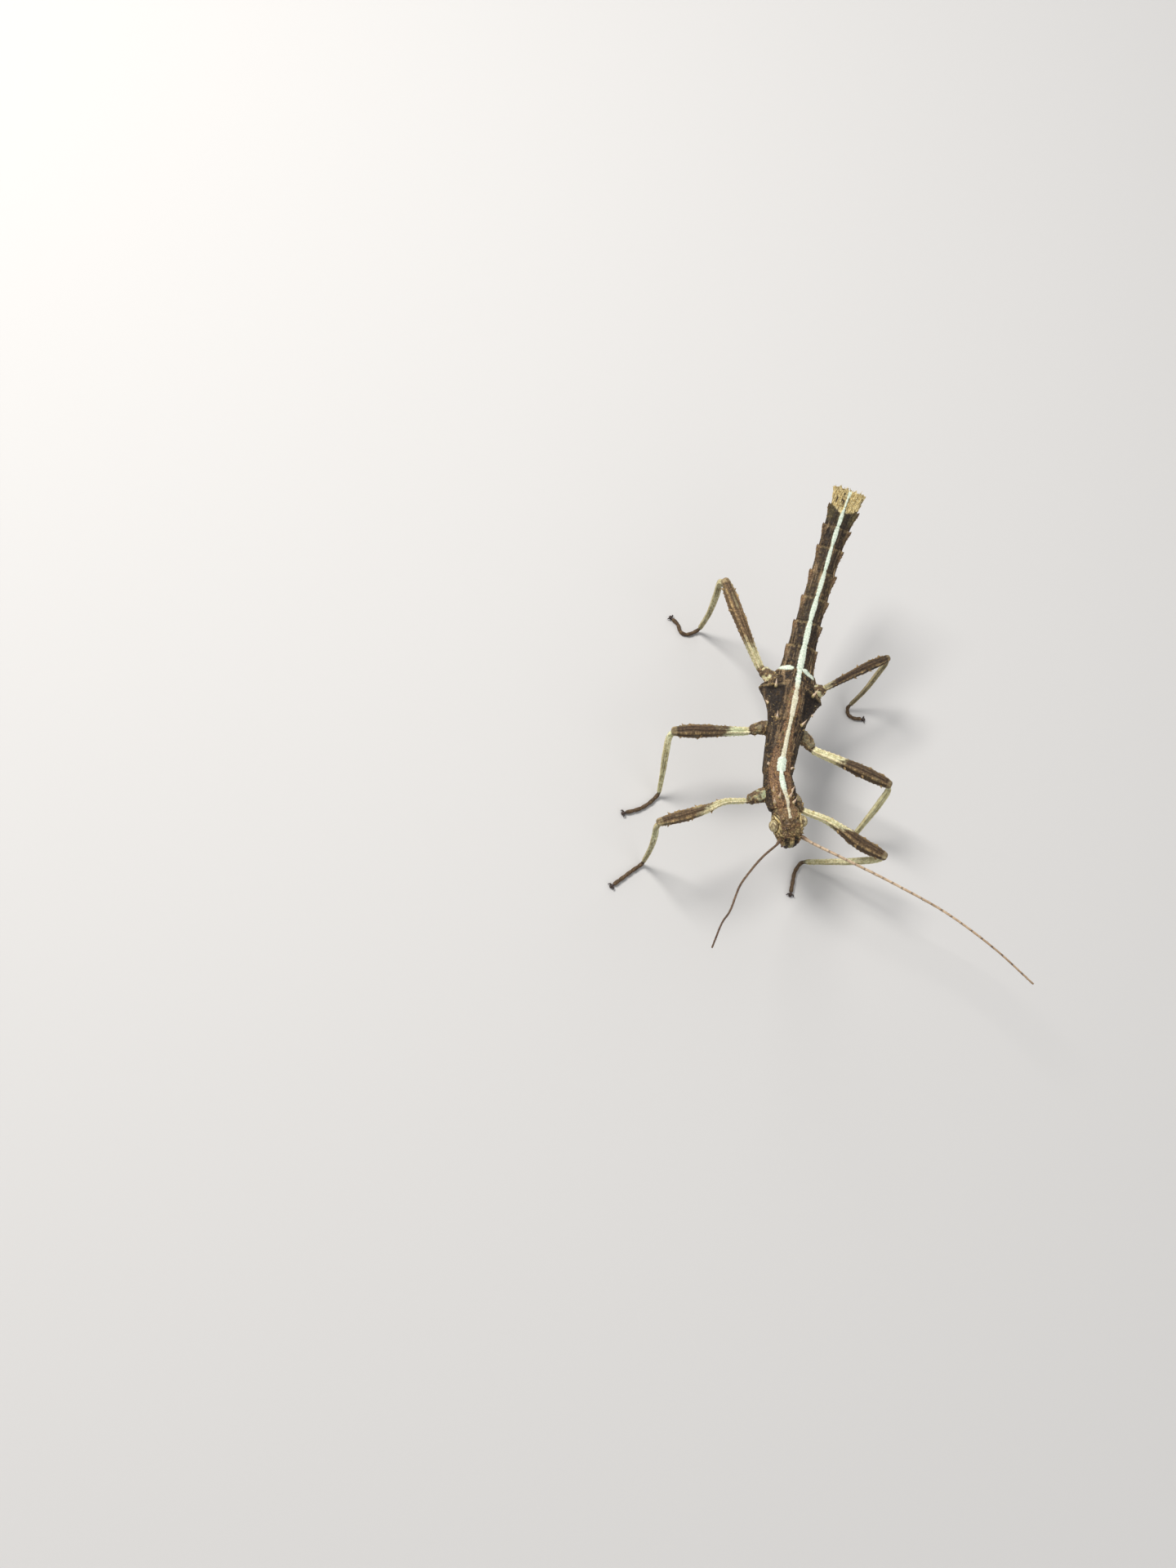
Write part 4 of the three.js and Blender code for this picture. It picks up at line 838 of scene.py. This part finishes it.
def head_skin(skin):
    forward = np.linspace(-0.3, 3.85, HEAD_ROWS)
    half, rise, depth = (blurred(np.interp(forward, HEAD_STATIONS[:, 0], HEAD_STATIONS[:, k]), 6, 15)
                         for k in (1, 2, 3))
    tube = Tube(Line([(0, 0.3, 0), (0, -1.5, 0), (0, -3.85, 0)]), half, HEAD_ROWS, HEAD_COLUMNS, rise, depth,
                (HEAD_ROUNDING, HEAD_ROUNDING))
    # along runs forward here, so the tube's left is the head's right
    f, w, chart = forward[:, None], tube.w, tube.chart()
    x, z = tube.p[..., 0], tube.p[..., 2]
    side, out = np.abs(x), np.abs(w)

    def patches(size, seed, low, high):
        return ramp(rough(chart, size, seed), low, high)

    def distance(place, radii):
        return np.sqrt(sum(((here - at) / r) ** 2 for here, at, r in zip((side, f, z), place, radii)))

    jitter = rough(chart, 0.3, 105)
    top = ramp(z, -0.1, 0.35)
    eye_near = distance(EYE_AT, (0.8, 0.95, 0.85))
    rim = (0.5 + 1.4 * ramp(EYE_AT[0] - side, -0.1, 0.4)) * bell(eye_near - 0.98, 0.18)
    socket = ramp(1.0 - eye_near, -0.05, 0.25)
    crest = bell(out - 0.55 + 0.12 * f, 0.13) * band(f, 0.2, 0.6, 2.0, 2.6)
    # front of the face: a plate and the lip in the middle, with dark jaws to each side
    middle = fall(side, 0.26 + 0.05 * jitter, 0.34 + 0.05 * jitter)
    plate = middle * ramp(f, 2.95, 3.1) * top
    lip = plate * ramp(f, 3.42, 3.5)
    jaw = (1 - middle) * ramp(f, 3.0, 3.2) * fall(side, 0.85, 1.05)
    clypeus = (bell(f - 3.0, 0.06) + bell(f - 3.46, 0.05) * middle) * top
    grains = pebbles(tube, (900, (0.05, 0.1), (0.02, 0.05)), (170, (0.1, 0.2), (0.05, 0.11), 2.4))
    cheek = band(f, 0.0, 0.3, 2.3, 2.9) * band(out, 1.15, 1.5, 3.0, 3.4)
    streak = wave(f * 0.55 + out, 0.42, 1.5 * jitter)
    tube.swell(
        0.03 * jitter + grains * (1 - 0.8 * socket) * (1 - 0.6 * cheek)
        + 0.13 * bell(f + 0.3, 0.5) * ramp(side, 0.6, 1.3) + 0.1 * rim - 0.12 * socket
        + 0.1 * bell(distance(SCAPE_ROOT, (1, 1, 1)) - 0.5, 0.1) + 0.1 * crest
        - 0.04 * bell(f - 0.25, 0.14) * top - 0.08 * clypeus
        + 0.025 * streak * cheek - 0.05 + 0.05 * plate - 0.16 * jaw * top)
    stripe_width = np.interp(f, [-0.3, 0.3, 0.6], [0.17, 0.15, 0.2])
    stripe = ramp(stripe_width + 0.04 * jitter - np.abs(w + 0.1 - 0.15 * f), -0.03, 0.05)
    stripe = stripe * fall(f + 0.1 * jitter, 0.62, 0.74)
    flank = ramp(side, 1.05, 1.4) * fall(f, 0.7, 1.1)
    arch = ramp(1 - (x / 0.95) ** 2 - ((f - 1.15) / 0.45) ** 2 + 0.4 * jitter, 0, 0.5) * top
    arch_edge = bell((x / 1.05) ** 2 + ((f - 1.2) / 0.6) ** 2 - 1, math.sqrt(0.05)) * top * (f < 1.5)
    smooth_cheek = ramp(side, 0.6, 0.9) * band(f, 1.9, 2.2, 2.8, 3.0)
    vee = bell(out - 0.25 - 0.75 * np.clip(1.9 - f, 0, 1.3), 0.26) * band(f, 0.5, 0.9, 2.0, 2.3)
    face = ramp(f, 2.2, 2.8)
    light = patches(0.5, 131, 0.1, 0.4)
    # the face is darker and plum to the right of its middle, golden to the left
    plum = bell(x + 0.75, 0.5) * bell(f - 2.3, 0.5) * patches(0.4, 133, -0.4, 0.1) * top
    gold = bell(x - 0.75, 0.4) * bell(f - 2.4, 0.4) * patches(0.3, 135, -0.3, 0.1) * top
    brow = bell(x, 0.5) * bell(f - 2.6, 0.3) * patches(0.25, 195, -0.1, 0.3)
    shadow = (0.7 * flank + 0.35 * arch + 0.55 * plum + 0.6 * arch_edge + 0.5 * vee + 0.95 * jaw
              + 0.5 * cheek * ramp(streak, 0.3, 0.7) + 0.35 * smooth_cheek
              + (0.2 + 0.25 * face) * patches(0.3, 151, 0.15, 0.5))
    skin.add(
        from_head(tube.p), (0.3, 0.25), stripe=stripe, cream=stripe,
        rose=(0.22 * arch + 0.12 * plum) * patches(0.35, 137, -0.3, 0.2),
        warm=(0.85 * patches(0.6, 141, -0.5, 0.1) * (1 - flank) * (1 - 0.6 * arch) + 0.1 * arch)
        * (1 - 0.7 * jaw),
        dark=clip01(shadow) * (1 - 0.3 * rim) * (1 - 0.8 * plate),
        pale=0.4 * gold + 0.4 * brow + 0.75 * cheek * ramp(-streak, -0.1, 0.4) + 0.25 * rim
        + 0.32 * light * face * (1 - smooth_cheek) * (1 - jaw) + 0.2 * light * top + 0.2 * lip,
        line=clip01(0.6 * patches(0.22, 191, 0.1, 0.4) + 0.4 * fall(f, 0.8, 1.2)) * top * (1 - jaw),
        tip=clip01(grains / 0.08) * 0.5 * (1 - jaw),
        green=clip01(0.25 * patches(0.45, 171, 0.1, 0.4) + 0.8 * lip) * (1 - jaw))

    def spine(root, lean, length, radius, **looks):
        spike(skin, from_head(root), np.asarray(lean) @ HEAD_TURN.T, length, radius, **looks)

    for place, round_share, length in HEAD_SPINES:
        row = int(np.argmin(np.abs(forward - place)))
        for hand in (-1, 1):
            root = tube.p[row, tube.column(row, 90 * hand * round_share)]
            lean = thorn_lean(UP, np.array([np.sign(root[0]), 0, 0]), round_share) + (0, 0.2, 0)
            spine(root, lean, 0.8 * length, 0.15, taper=1.0, pale=0.3, tip=0.6)
    for _ in range(90):
        row = random.integers(25, HEAD_ROWS - 10)
        column = random.integers(int(HEAD_COLUMNS * 0.24), int(HEAD_COLUMNS * 0.76))
        root = tube.p[row, column]
        if abs(abs(root[0]) - EYE_AT[0]) < 0.75 and abs(-root[1] - EYE_AT[1]) < 0.9:
            continue
        spine(root, tube.n[row, column] + (0, 0.3, 0), draw(0.08, 0.2), 0.07,
              pale=draw(0, 0.5), tip=0.6)


def ball(skin, centre, radii, turn, rows, columns, dent=None, **marks):
    """A closed egg; dent gives its height over the egg by direction, and marks may be functions too."""
    a = np.linspace(0.04, math.pi - 0.04, rows)[:, None]
    b = np.linspace(0, 2 * math.pi, columns, endpoint=False)[None]
    d = np.stack(np.broadcast_arrays(np.cos(b) * np.sin(a), np.sin(b) * np.sin(a), np.cos(a)), -1)
    p = d * np.array(radii)
    if dent is not None:
        p = p + unit(d / np.array(radii)) * dent(d)[..., None]
    values = {name: value(d) if callable(value) else value for name, value in marks.items()}
    skin.add(p @ np.array(turn).T + np.array(centre), (0.02, 0.02), **values)


def make_eye(hand):
    def streaks(d):
        round_eye = np.arctan2(d[..., 2], hand * d[..., 0]) + 0.45 * d[..., 1]
        bands = wave(round_eye, 0.55, 4.5 * noise(d, (0.5, 0.8, 0.5), 201 + hand))
        return ramp(bands, -0.1, 0.7) * ramp(noise(d, (0.25, 0.45, 0.25), 205), -0.5, 0.1)

    def inner_shade_and_blotches(d):
        # painted shade: darker on the eye's inner and upper side, where it meets the head, plus random
        # blotches
        inner_shade = ramp(-hand * d[..., 0] + 0.4 * d[..., 2] + 0.4 * noise(d, 0.4, 211), 0.3, 0.6)
        return 0.8 * inner_shade + 0.6 * ramp(noise(d, 0.35, 215 + hand), 0.35, 0.55)

    skin = Skin()
    side, forward, up = EYE_AT
    centre = from_head((hand * side, -forward, up))
    ball(skin, centre, EYE_RADII, HEAD_TURN, 90, 120, line=streaks, dark=inner_shade_and_blotches)
    return skin


def make_mouth():
    skin = Skin()

    def lobe(centre, radii, **marks):
        ball(skin, from_head(centre), radii, HEAD_TURN, 30, 40, lambda d: 0.02 * rough(d, 0.5, 301), **marks)

    def palp(points, radii, **marks):
        """A chain of short swollen joints along a line."""
        line = Line(from_head(points))
        count = len(radii)
        for k, radius in enumerate(radii):
            half = np.repeat([0.78, 1.0, 0.95, 0.7], 6) * radius
            tube = Tube(line, half, 24, 20, np.full(24, radius),
                        span=((k + 0.02) / count, (k + 1.05) / count if k < count - 1 else 1))
            swell = np.sin(np.linspace(0.25, math.pi - 0.35, 24))[:, None] * 0.25 * radius - 0.2 * radius
            skin.add(tube.swell(swell), (0.5, 0.6), **marks)

    lobe((0, -3.98, 0.0), (0.36, 0.34, 0.22), green=0.9)
    for side in (-0.1, 0.1):
        lobe((side, -4.16, -0.2), (0.2, 0.18, 0.26), green=0.8)
    for hand in (-1, 1):
        lobe((hand * 0.6, -3.82, -0.1), (0.28, 0.4, 0.36), dark=0.9)
        lobe((hand * 0.42, -4.06, -0.42), (0.3, 0.3, 0.34), dark=0.8)
        lobe((hand * 0.3, -3.9, -0.85), (0.26, 0.34, 0.3), warm=0.4)
    lobe((0, -3.75, -1.0), (0.4, 0.35, 0.26), warm=0.6)
    for hand in (-1, 1):
        palp([(hand * 0.4, -3.7, -0.85), (hand * 0.56, -4.0, -1.2), (hand * 0.46, -4.1, -1.65)],
             [0.14, 0.15, 0.14, 0.12], warm=0.55, dark=0.3)
        palp([(hand * 0.2, -3.8, -1.0), (hand * 0.3, -4.15, -1.2), (hand * 0.22, -4.25, -1.5)],
             [0.11, 0.12, 0.1], warm=0.5)
    return skin


# ---- feelers

FEELER_STEP = 0.055  # between rings, in mm


def make_feeler(side_name):
    skin = Skin()
    end, thread = FEELERS[side_name]
    hand = 1 if side_name == "left" else -1
    root = from_head((hand * SCAPE_ROOT[0], -SCAPE_ROOT[1], SCAPE_ROOT[2]))
    brown = side_name == "right"
    size = 0.72 if brown else 0.88
    scape = Tube(Line([root, end]), np.array([0.24, 0.3, 0.27, 0.19]) * size, 60, 36,
                 np.array([0.24, 0.29, 0.26, 0.19]) * size)
    bumps = rough(scape.chart(), 0.25, 401)
    skin.add(scape.swell(0.02 * bumps - 0.01), warm=0.9 if brown else 0.8 * fall(scape.t, 0.4, 0.9),
             dark=(0.4 if brown else 0.2) + 0.35 * ramp(bumps, 0, 0.4),
             pale=0 if brown else 0.8 * ramp(scape.t, 0.3, 0.9))
    line = Line([np.array(end) - 0.15 * unit(np.array(end) - root), *thread])
    rows, columns = int(line.length / FEELER_STEP), 22
    t = np.linspace(0, 1, rows)
    borders = np.concatenate([[0, 0.018, 0.05], 0.05 + np.cumsum(np.linspace(0.036, 0.05, 22))])
    nearest = np.abs(t[:, None] - borders[borders < 0.985]).min(axis=1) * line.length
    knot = bell(nearest, 0.11)
    radius = np.interp(t, [0, 0.03, 0.08, 0.6, 1], [0.18, 0.2, 0.19, 0.16, 0.125]) * size
    tube = Tube(line, radius * (1 + 0.05 * bell(nearest - 0.16, 0.1) - 0.08 * knot), rows, columns)
    far, knot = ramp(tube.t, 0.35, 0.95), knot[:, None]
    skin.add(tube.swell(0.008 * noise(tube.chart(), 0.12, 405)),
             dark=knot * (0.7 + 0.3 * far) + 0.35 * brown + 0.15 * ramp(tube.t, 0.6, 1),
             warm=0.75 * brown + 0.3 * far + 0.25 * noise(tube.chart(4), 0.8, 409),
             pale=(0 if brown else 0.8) * (1 - 0.5 * far))
    for place in np.arange(0.06, 0.985, 0.011):
        skin.grow(tube, int(place * (rows - 1)), random.integers(0, columns), 1.5, 0.12, 0.012, columns=4,
                  rows=3, sink=0.02, warm=0.5)
    return skin


# ---- legs

# share of the thigh that is pale, how pale, its green, warmth and depth of its brown, paleness of the shin
LOOKS = {
    "front_right": (0.5, 0.95, 0.25, 0.65, 0.35, 0.8), "middle_right": (0.32, 1.0, 0.6, 0.4, 0.65, 1.0),
    "hind_right": (0.3, 0.75, 0.0, 0.85, 0.2, 0.8), "front_left": (0.5, 1.0, 0.1, 0.5, 0.5, 1.0),
    "middle_left": (0.42, 1.0, 0.05, 0.35, 0.7, 0.9), "hind_left": (0.16, 0.6, 0.0, 0.2, 0.9, 0.4),
}
EDGES = (45, 135, -45, -135)  # where the keels of a limb run, in degrees round from its top
FEMUR_GROOVES = (15, 72, 108, -15, -72, -108, 165, -165)
SHIN_GROOVES = (0, 75, 105, 180, -75, -105)
FEMUR_LOBES = ((0.56, 45), (0.72, -45), (0.8, 45), (0.62, 135), (0.7, -135), (0.87, -45))  # share along, edge
TOOTH = 0.6  # spacing of the low teeth on the keels, in mm
FEMUR_STEP, SHIN_STEP, FOOT_STEP = 0.065, 0.06, 0.05  # between rings, in mm
COXA_ROWS, COXA_COLUMNS, FEMUR_COLUMNS, SHIN_COLUMNS, FOOT_COLUMNS = 110, 90, 84, 72, 44


def keeled(tube, edges=EDGES, width=0.16):
    """1 along edges of a limb, and less beside them."""
    return np.max([bell(turned(tube.angle, degrees), width) for degrees in edges], axis=0)


def edge_places(tube, shares, skipped, wander=0):
    """Random places along a limb's edges: the share along, row and column of each."""
    for share in shares:
        for degrees in EDGES:
            if draw() >= skipped:
                row = int((share + draw(-wander, wander) if wander else share) * (len(tube.t) - 1))
                yield share, row, tube.column(row, degrees)


def limb(points, shape, girth, step, columns, **more):
    """A line and the tube round it, with rings the given step apart."""
    line = Line(points)
    half, rise = np.array(shape) * girth
    return line, Tube(line, half, int(line.length / step), columns, rise, **more)


def above_floor(p):
    return np.maximum(p, (-np.inf, -np.inf, 0))


def make_leg(name):
    girth, coxa, femur, shin, foot = LEGS[name]
    pale_share, pale_strength, greenness, warmth, depth, shin_pale = LOOKS[name]
    front, hind, left = name.startswith("front"), name.startswith("hind"), name.endswith("left")
    seed = 500 + 37 * list(LEGS).index(name)
    skin = Skin()

    # hip
    coxa = np.array(coxa)
    half, rise = np.array(COXA_SHAPE) * (1.1 if hind else 1.0)
    tube = Tube(Line([coxa[0] + 0.3 * (coxa[0] - coxa[1]), *coxa]), half, COXA_ROWS, COXA_COLUMNS, rise)
    jitter = rough(tube.chart(), 0.3, seed)
    grains = pebbles(tube, (260, (0.06, 0.13), (0.02, 0.06)), (50, (0.12, 0.2), (0.06, 0.1)))
    collar = bell(tube.t - 0.93, 0.05) - 0.8 * bell(tube.t - 0.8, 0.04)
    tube.swell(0.03 * jitter + grains + 0.05 * collar - 0.05)
    # pale patches; on the hind hips they are strong, partly pale colour and partly painted highlight
    patch = ramp(rough(tube.chart(), 0.6, seed + 3), -0.05, 0.3)
    # painted shade: the front left hip is painted dark all over but for its pale patches
    skin.add(tube.p, (0.3, 0.3), dark=0.6 * (1 - patch) if name == "front_left" else 0.35 - 0.5 * patch,
             tip=clip01(grains / 0.08) * 0.5, warm=0.25, pale=patch * (0.8 if hind else 0.1),
             green=patch * (0.6 if name == "front_right" else 0.1))
    for _ in range(16):
        row, column = random.integers(20, COXA_ROWS - 10), random.integers(0, COXA_COLUMNS)
        skin.grow(tube, row, column, 0.3, draw(0.12, 0.25), 0.07, columns=6, tip=0.8, pale=0.4)

    # thigh
    root = coxa[-1] + 0.35 * (coxa[-1] - femur[0])
    shape = FRONT_FEMUR_SHAPE if front else FEMUR_SHAPE
    line, tube = limb([root, *femur], shape, girth, FEMUR_STEP, FEMUR_COLUMNS)
    t = tube.t
    jitter = rough(tube.chart(2.2), 0.25, seed + 5)
    fibre = tube.fibres(1.6, 0.14, seed + 7)
    keel = keeled(tube)
    grooves = keeled(tube, FEMUR_GROOVES, 0.14)
    teeth = clip01(wave(tube.s, TOOTH, seed + 2 * noise(tube.chart(), 1.5, seed))) ** 2
    lobes = np.max([clip01(1 - np.abs(t - share) / 0.045) * bell(turned(tube.angle, degrees), 0.2)
                    for share, degrees in FEMUR_LOBES], axis=0)
    grains = pebbles(tube, (420, (0.05, 0.11), (0.02, 0.05)))
    knee = ramp(t, 0.955, 0.985)
    tube.swell((0.13 * keel * (0.5 + 0.6 * teeth) + 0.12 * lobes + 0.03 * fibre - 0.035 * grooves
                + grains * ramp(t, 0.3, 0.6)) * fall(t, 0.955, 0.995) + 0.02 * jitter - 0.08
               - 0.06 * bell(t - 0.045, 0.012) - 0.03 * bell(t - 0.95, 0.01))
    slant = (0.1 if front else 0.035) * np.sin(tube.angle)
    base = fall(t + 0.09 * jitter + slant, pale_share - 0.07, pale_share + 0.05) * pale_strength
    base = base * ramp(t, 0.03, 0.06)
    far = 1 - base
    upper = ramp(np.cos(tube.angle), -0.2, 0.3) * (np.abs(tube.angle) < 1.2)
    light = ramp(noise(tube.chart(3), 0.5, seed + 11), 0.25, 0.6)
    brown = depth * (0.45 + 0.55 * ramp(-fibre, -0.2, 0.5)) + 0.45 * grooves * (0.5 + 0.5 * depth)
    skin.add(
        tube.p, (0.3, 0.6), pale=base + 0.18 * knee + 0.4 * (1 - depth) * far * light,
        green=greenness * base * ramp(noise(tube.chart(3), 0.9, seed + 13), -0.3, 0.4),
        warm=warmth * far * (0.4 + 0.6 * ramp(fibre, 0.0, 0.4)) + 0.25 * knee,
        line=clip01(0.75 * grooves * ramp(jitter, -0.5, 0.1) * (0.6 + 0.4 * far)) * (1 - 0.7 * knee),
        dark=brown * far * (1 - 0.5 * knee) + 0.2 * bell(t - 0.95, 0.012),
        tip=0.1 * clip01(grains / 0.05) * far + 0.5 * (1 - 0.5 * depth) * keel * (0.3 + 0.7 * teeth) * far
        + 0.5 * (1 - 0.6 * depth) * lobes,
        cream=0.6 * keel * base * upper * pale_strength)
    for share, row, column in edge_places(tube, np.arange(0.08, 0.97, 0.022), 0.78, 0.008):
        length = draw(0.03, 0.09) * (0.5 + 0.8 * share)
        skin.grow(tube, row, column, 0.5, length, 0.09, columns=6, rows=5, taper=0.9, tip=0.4, warm=0.6)
    for share, degrees, length in FEMUR_TEETH:
        row = int(share * (len(t) - 1))
        skin.grow(tube, row, tube.column(row, -degrees if left else degrees), 0.35, length, 0.22,
                  0.08 * tube.along[row], 10, 10, taper=1.0, tip=0.3, warm=0.5, dark=0.4 * depth)

    # shin
    root = line.at(0.975)[0] - 0.1 * girth * UP
    outward = np.array([1.0 if left else -1.0, 0, 0])
    line, tube = limb([root, *shin], SHIN_SHAPE, girth, SHIN_STEP, SHIN_COLUMNS, wanted_up=outward)
    t = tube.t
    jitter = rough(tube.chart(3), 0.25, seed + 15)
    keel = keeled(tube, width=0.22)
    teeth = clip01(wave(tube.s, TOOTH)) ** 2
    grooves = keeled(tube, SHIN_GROOVES, 0.13)
    tube.swell((0.08 * keel * (0.7 + 0.35 * teeth) - 0.03 * grooves) * band(t, 0.0, 0.06, 0.95, 1.0)
               + 0.012 * jitter - 0.05 - 0.07 * ramp(t, 0.96, 1.0))
    mottled = ramp(noise(tube.chart(3), 0.8, seed + 19), -0.4, 0.3)
    lower = ramp(t, 0.45, 0.95)
    facing = ramp(np.abs(np.cos(tube.angle)), 0.55, 0.8)  # the broad faces, between the dark edges
    skin.add(
        tube.p, (0.7, 0.6), pale=shin_pale * (0.85 + 0.15 * mottled), tip=0.35 * keel * teeth,
        green=(0.05 + 0.9 * greenness) * mottled * (1 - 0.7 * lower),
        warm=0.3 * (1 - shin_pale) + 0.35 * fall(t, 0.03, 0.08),
        cream=0.25 * shin_pale * facing * ramp(jitter, -0.2, 0.3) * (1 - lower),
        line=grooves * ramp(jitter, -0.45, 0.05) * (0.8 - 0.5 * facing) + 0.3 * (1 - shin_pale)
        + 0.15 * lower,
        dark=0.85 * ramp(t, 0.95, 0.99)
        + (0.5 * grooves * (1 - 0.6 * facing) + 0.3 * (1 - shin_pale)) * ramp(jitter, -0.1, 0.3))
    for _, row, column in edge_places(tube, np.arange(0.12, 0.97, 0.035), 0.8):
        length = draw(0.05, 0.1)
        skin.grow(tube, row, column, 0.8, length, 0.05, columns=6, rows=4, taper=1.0, tip=0.5, pale=0.5)

    # foot: joints that are each narrow at the start and swollen at the end
    line = Line([line.at(0.995)[0], *foot])
    rows = int(line.length / FOOT_STEP)
    phase = (np.linspace(0, 1, rows) * FOOT_JOINTS) % 1
    bulge = (FOOT_BULGE - FOOT_WAIST) * np.sin(math.pi * phase ** 1.6)
    half = FOOT_WAIST + bulge - 0.06 * bell(phase - 0.02, 0.05)
    tube = Tube(line, half, rows, FOOT_COLUMNS, half * 0.95)
    jitter = rough(tube.chart(), 0.16, seed + 23)
    skin.add(above_floor(tube.swell(0.015 * jitter)), dark=0.65 + 0.5 * jitter, warm=0.5,
             tip=0.25 * ramp(jitter, 0.1, 0.5) * (phase[:, None] > 0.6))
    return skin, line


def make_claws(line):
    """A grooved pad between two hooked claws."""
    skin = Skin()
    tip = line.at(1)[0]
    along = unit(line.along(1)[0] * (1, 1, 0))
    side = np.cross(UP, along)
    centre = tip + along * (0.1 + PAD_RADII[1] * 0.9)
    centre[2] = PAD_RADII[2]
    ball(skin, centre, PAD_RADII, np.stack([side, along, UP], axis=1), 36, 40,
         lambda d: -0.02 * np.sin(9 * d[..., 1]) ** 2, dark=0.3)
    skin.add(Tube(Line([tip - 0.15 * along, centre]), [0.17, 0.14], 12, 18).p, (0.3, 0.3), dark=0.5)
    for hand in (-1, 1):
        bend = centre + side * hand * 0.3
        bend[2] = 0.4
        point = bend + side * hand * 0.2 + along * 0.14
        point[2] = 0.12
        hook = Tube(Line([centre - 0.1 * along, bend, point]), [0.11, 0.1, 0.08, 0.03], 30, 18)
        skin.add(hook.p, (0.3, 0.8), dark=0.2 + 0.8 * hook.t)
    skin.parts = [(above_floor(p), marks) for p, marks in skin.parts]
    return skin


# ---- the pieces

paints = {name: material(name) for name in MATERIALS}

body = Skin()
body_grid = body_skin(body)
body_spines(body, body_grid)
head_skin(body)
body.make("skin_body", "shell", ["head", *NUMBER], paints["body_skin"])
tail_fringe(body_grid).make("tail_fringe", "tail", [], paints["body_skin"])
for side_name, side_hand in (("left", 1), ("right", -1)):
    make_eye(side_hand).make(f"eye_{side_name}_facets", "eye", [f"eye_{side_name}"], paints["eye_facets"])
    feeler_nodes = [f"antenna_{side_name}_{part}" for part in ("scape", 1, 2, 3)]
    make_feeler(side_name).make(f"feeler_{side_name}", "feeler", feeler_nodes, paints["feeler_skin"])
make_mouth().make("mouth", "mouth", ["mouthparts"], paints["mouth_skin"])
for leg_name in LEGS:
    leg, foot_line = make_leg(leg_name)
    leg_nodes = [f"leg_{leg_name}_{part}" for part in ("coxa", "femur", "tibia", "tarsus")]
    leg.make(f"skin_leg_{leg_name}", "femur", leg_nodes, paints["leg_skin"])
    make_claws(foot_line).make(f"claws_{leg_name}", "claw", [f"leg_{leg_name}_claws"], paints["claw_horn"])


# ---- floor, light and camera

FLOOR_COLOUR, FLOOR_HALF = (0.6, 0.588, 0.575, 1), 1.5
LIT_POINT = Vector((0, 0, 0.01))
CAMERA_ANGLES = (-12.0, 65.0, 26.45)  # azimuth, elevation and roll in degrees
CAMERA_PLACE = (-45.266, -78.683, 158.98)  # in mm


def make_floor():
    mesh = bpy.data.meshes.new("floor")
    corners = [(x * FLOOR_HALF, y * FLOOR_HALF, 0) for x, y in ((-1, -1), (1, -1), (1, 1), (-1, 1))]
    mesh.from_pydata(corners, [], [(0, 1, 2, 3)])
    floor = add_object("floor", mesh)
    paint = Painter("floor_pale")
    paint.feed(paint.shader, {"Base Color": FLOOR_COLOUR, "Roughness": 0.9})
    mesh.materials.append(paint.material)


def make_light(name, place, size, power, colour=(1, 1, 1)):
    data = bpy.data.lights.new(name, "AREA")
    data.size = size
    data.energy = power
    data.color = colour
    light = add_object(name, data)
    light.location = place
    light.rotation_euler = (LIT_POINT - Vector(place)).to_track_quat("-Z", "Y").to_euler()


def make_camera():
    azimuth, elevation, roll = np.radians(CAMERA_ANGLES)
    back = np.array([math.sin(azimuth) * math.cos(elevation), -math.cos(azimuth) * math.cos(elevation),
                     math.sin(elevation)])
    right = unit(np.cross(-back, UP))
    up = np.cross(right, -back)
    right, up = (math.cos(roll) * right + math.sin(roll) * up, -math.sin(roll) * right + math.cos(roll) * up)
    data = bpy.data.cameras.new("camera")
    data.lens = 31.875
    data.sensor_width = 36
    data.clip_start = 0.005
    camera = add_object("camera", data)
    matrix = np.eye(4)
    matrix[:3, :3] = np.stack([right, up, back], axis=1)
    matrix[:3, 3] = np.array(CAMERA_PLACE) * MM
    camera.matrix_world = Matrix(matrix.tolist())
    bpy.context.scene.camera = camera


make_floor()
make_light("key", (-0.26, 0.1, 0.32), 0.14, 1.7, (1, 0.98, 0.95))
make_light("fill", (0.3, -0.25, 0.3), 0.35, 0.5)
make_light("rim", (0.1, 0.4, 0.25), 0.3, 0.4)
world = bpy.data.worlds.new("studio")
world.use_nodes = True
world.node_tree.nodes["Background"].inputs["Color"].default_value = (0.9, 0.92, 0.95, 1)
world.node_tree.nodes["Background"].inputs["Strength"].default_value = 0.42
bpy.context.scene.world = world
bpy.context.scene.view_settings.view_transform = "Standard"
make_camera()
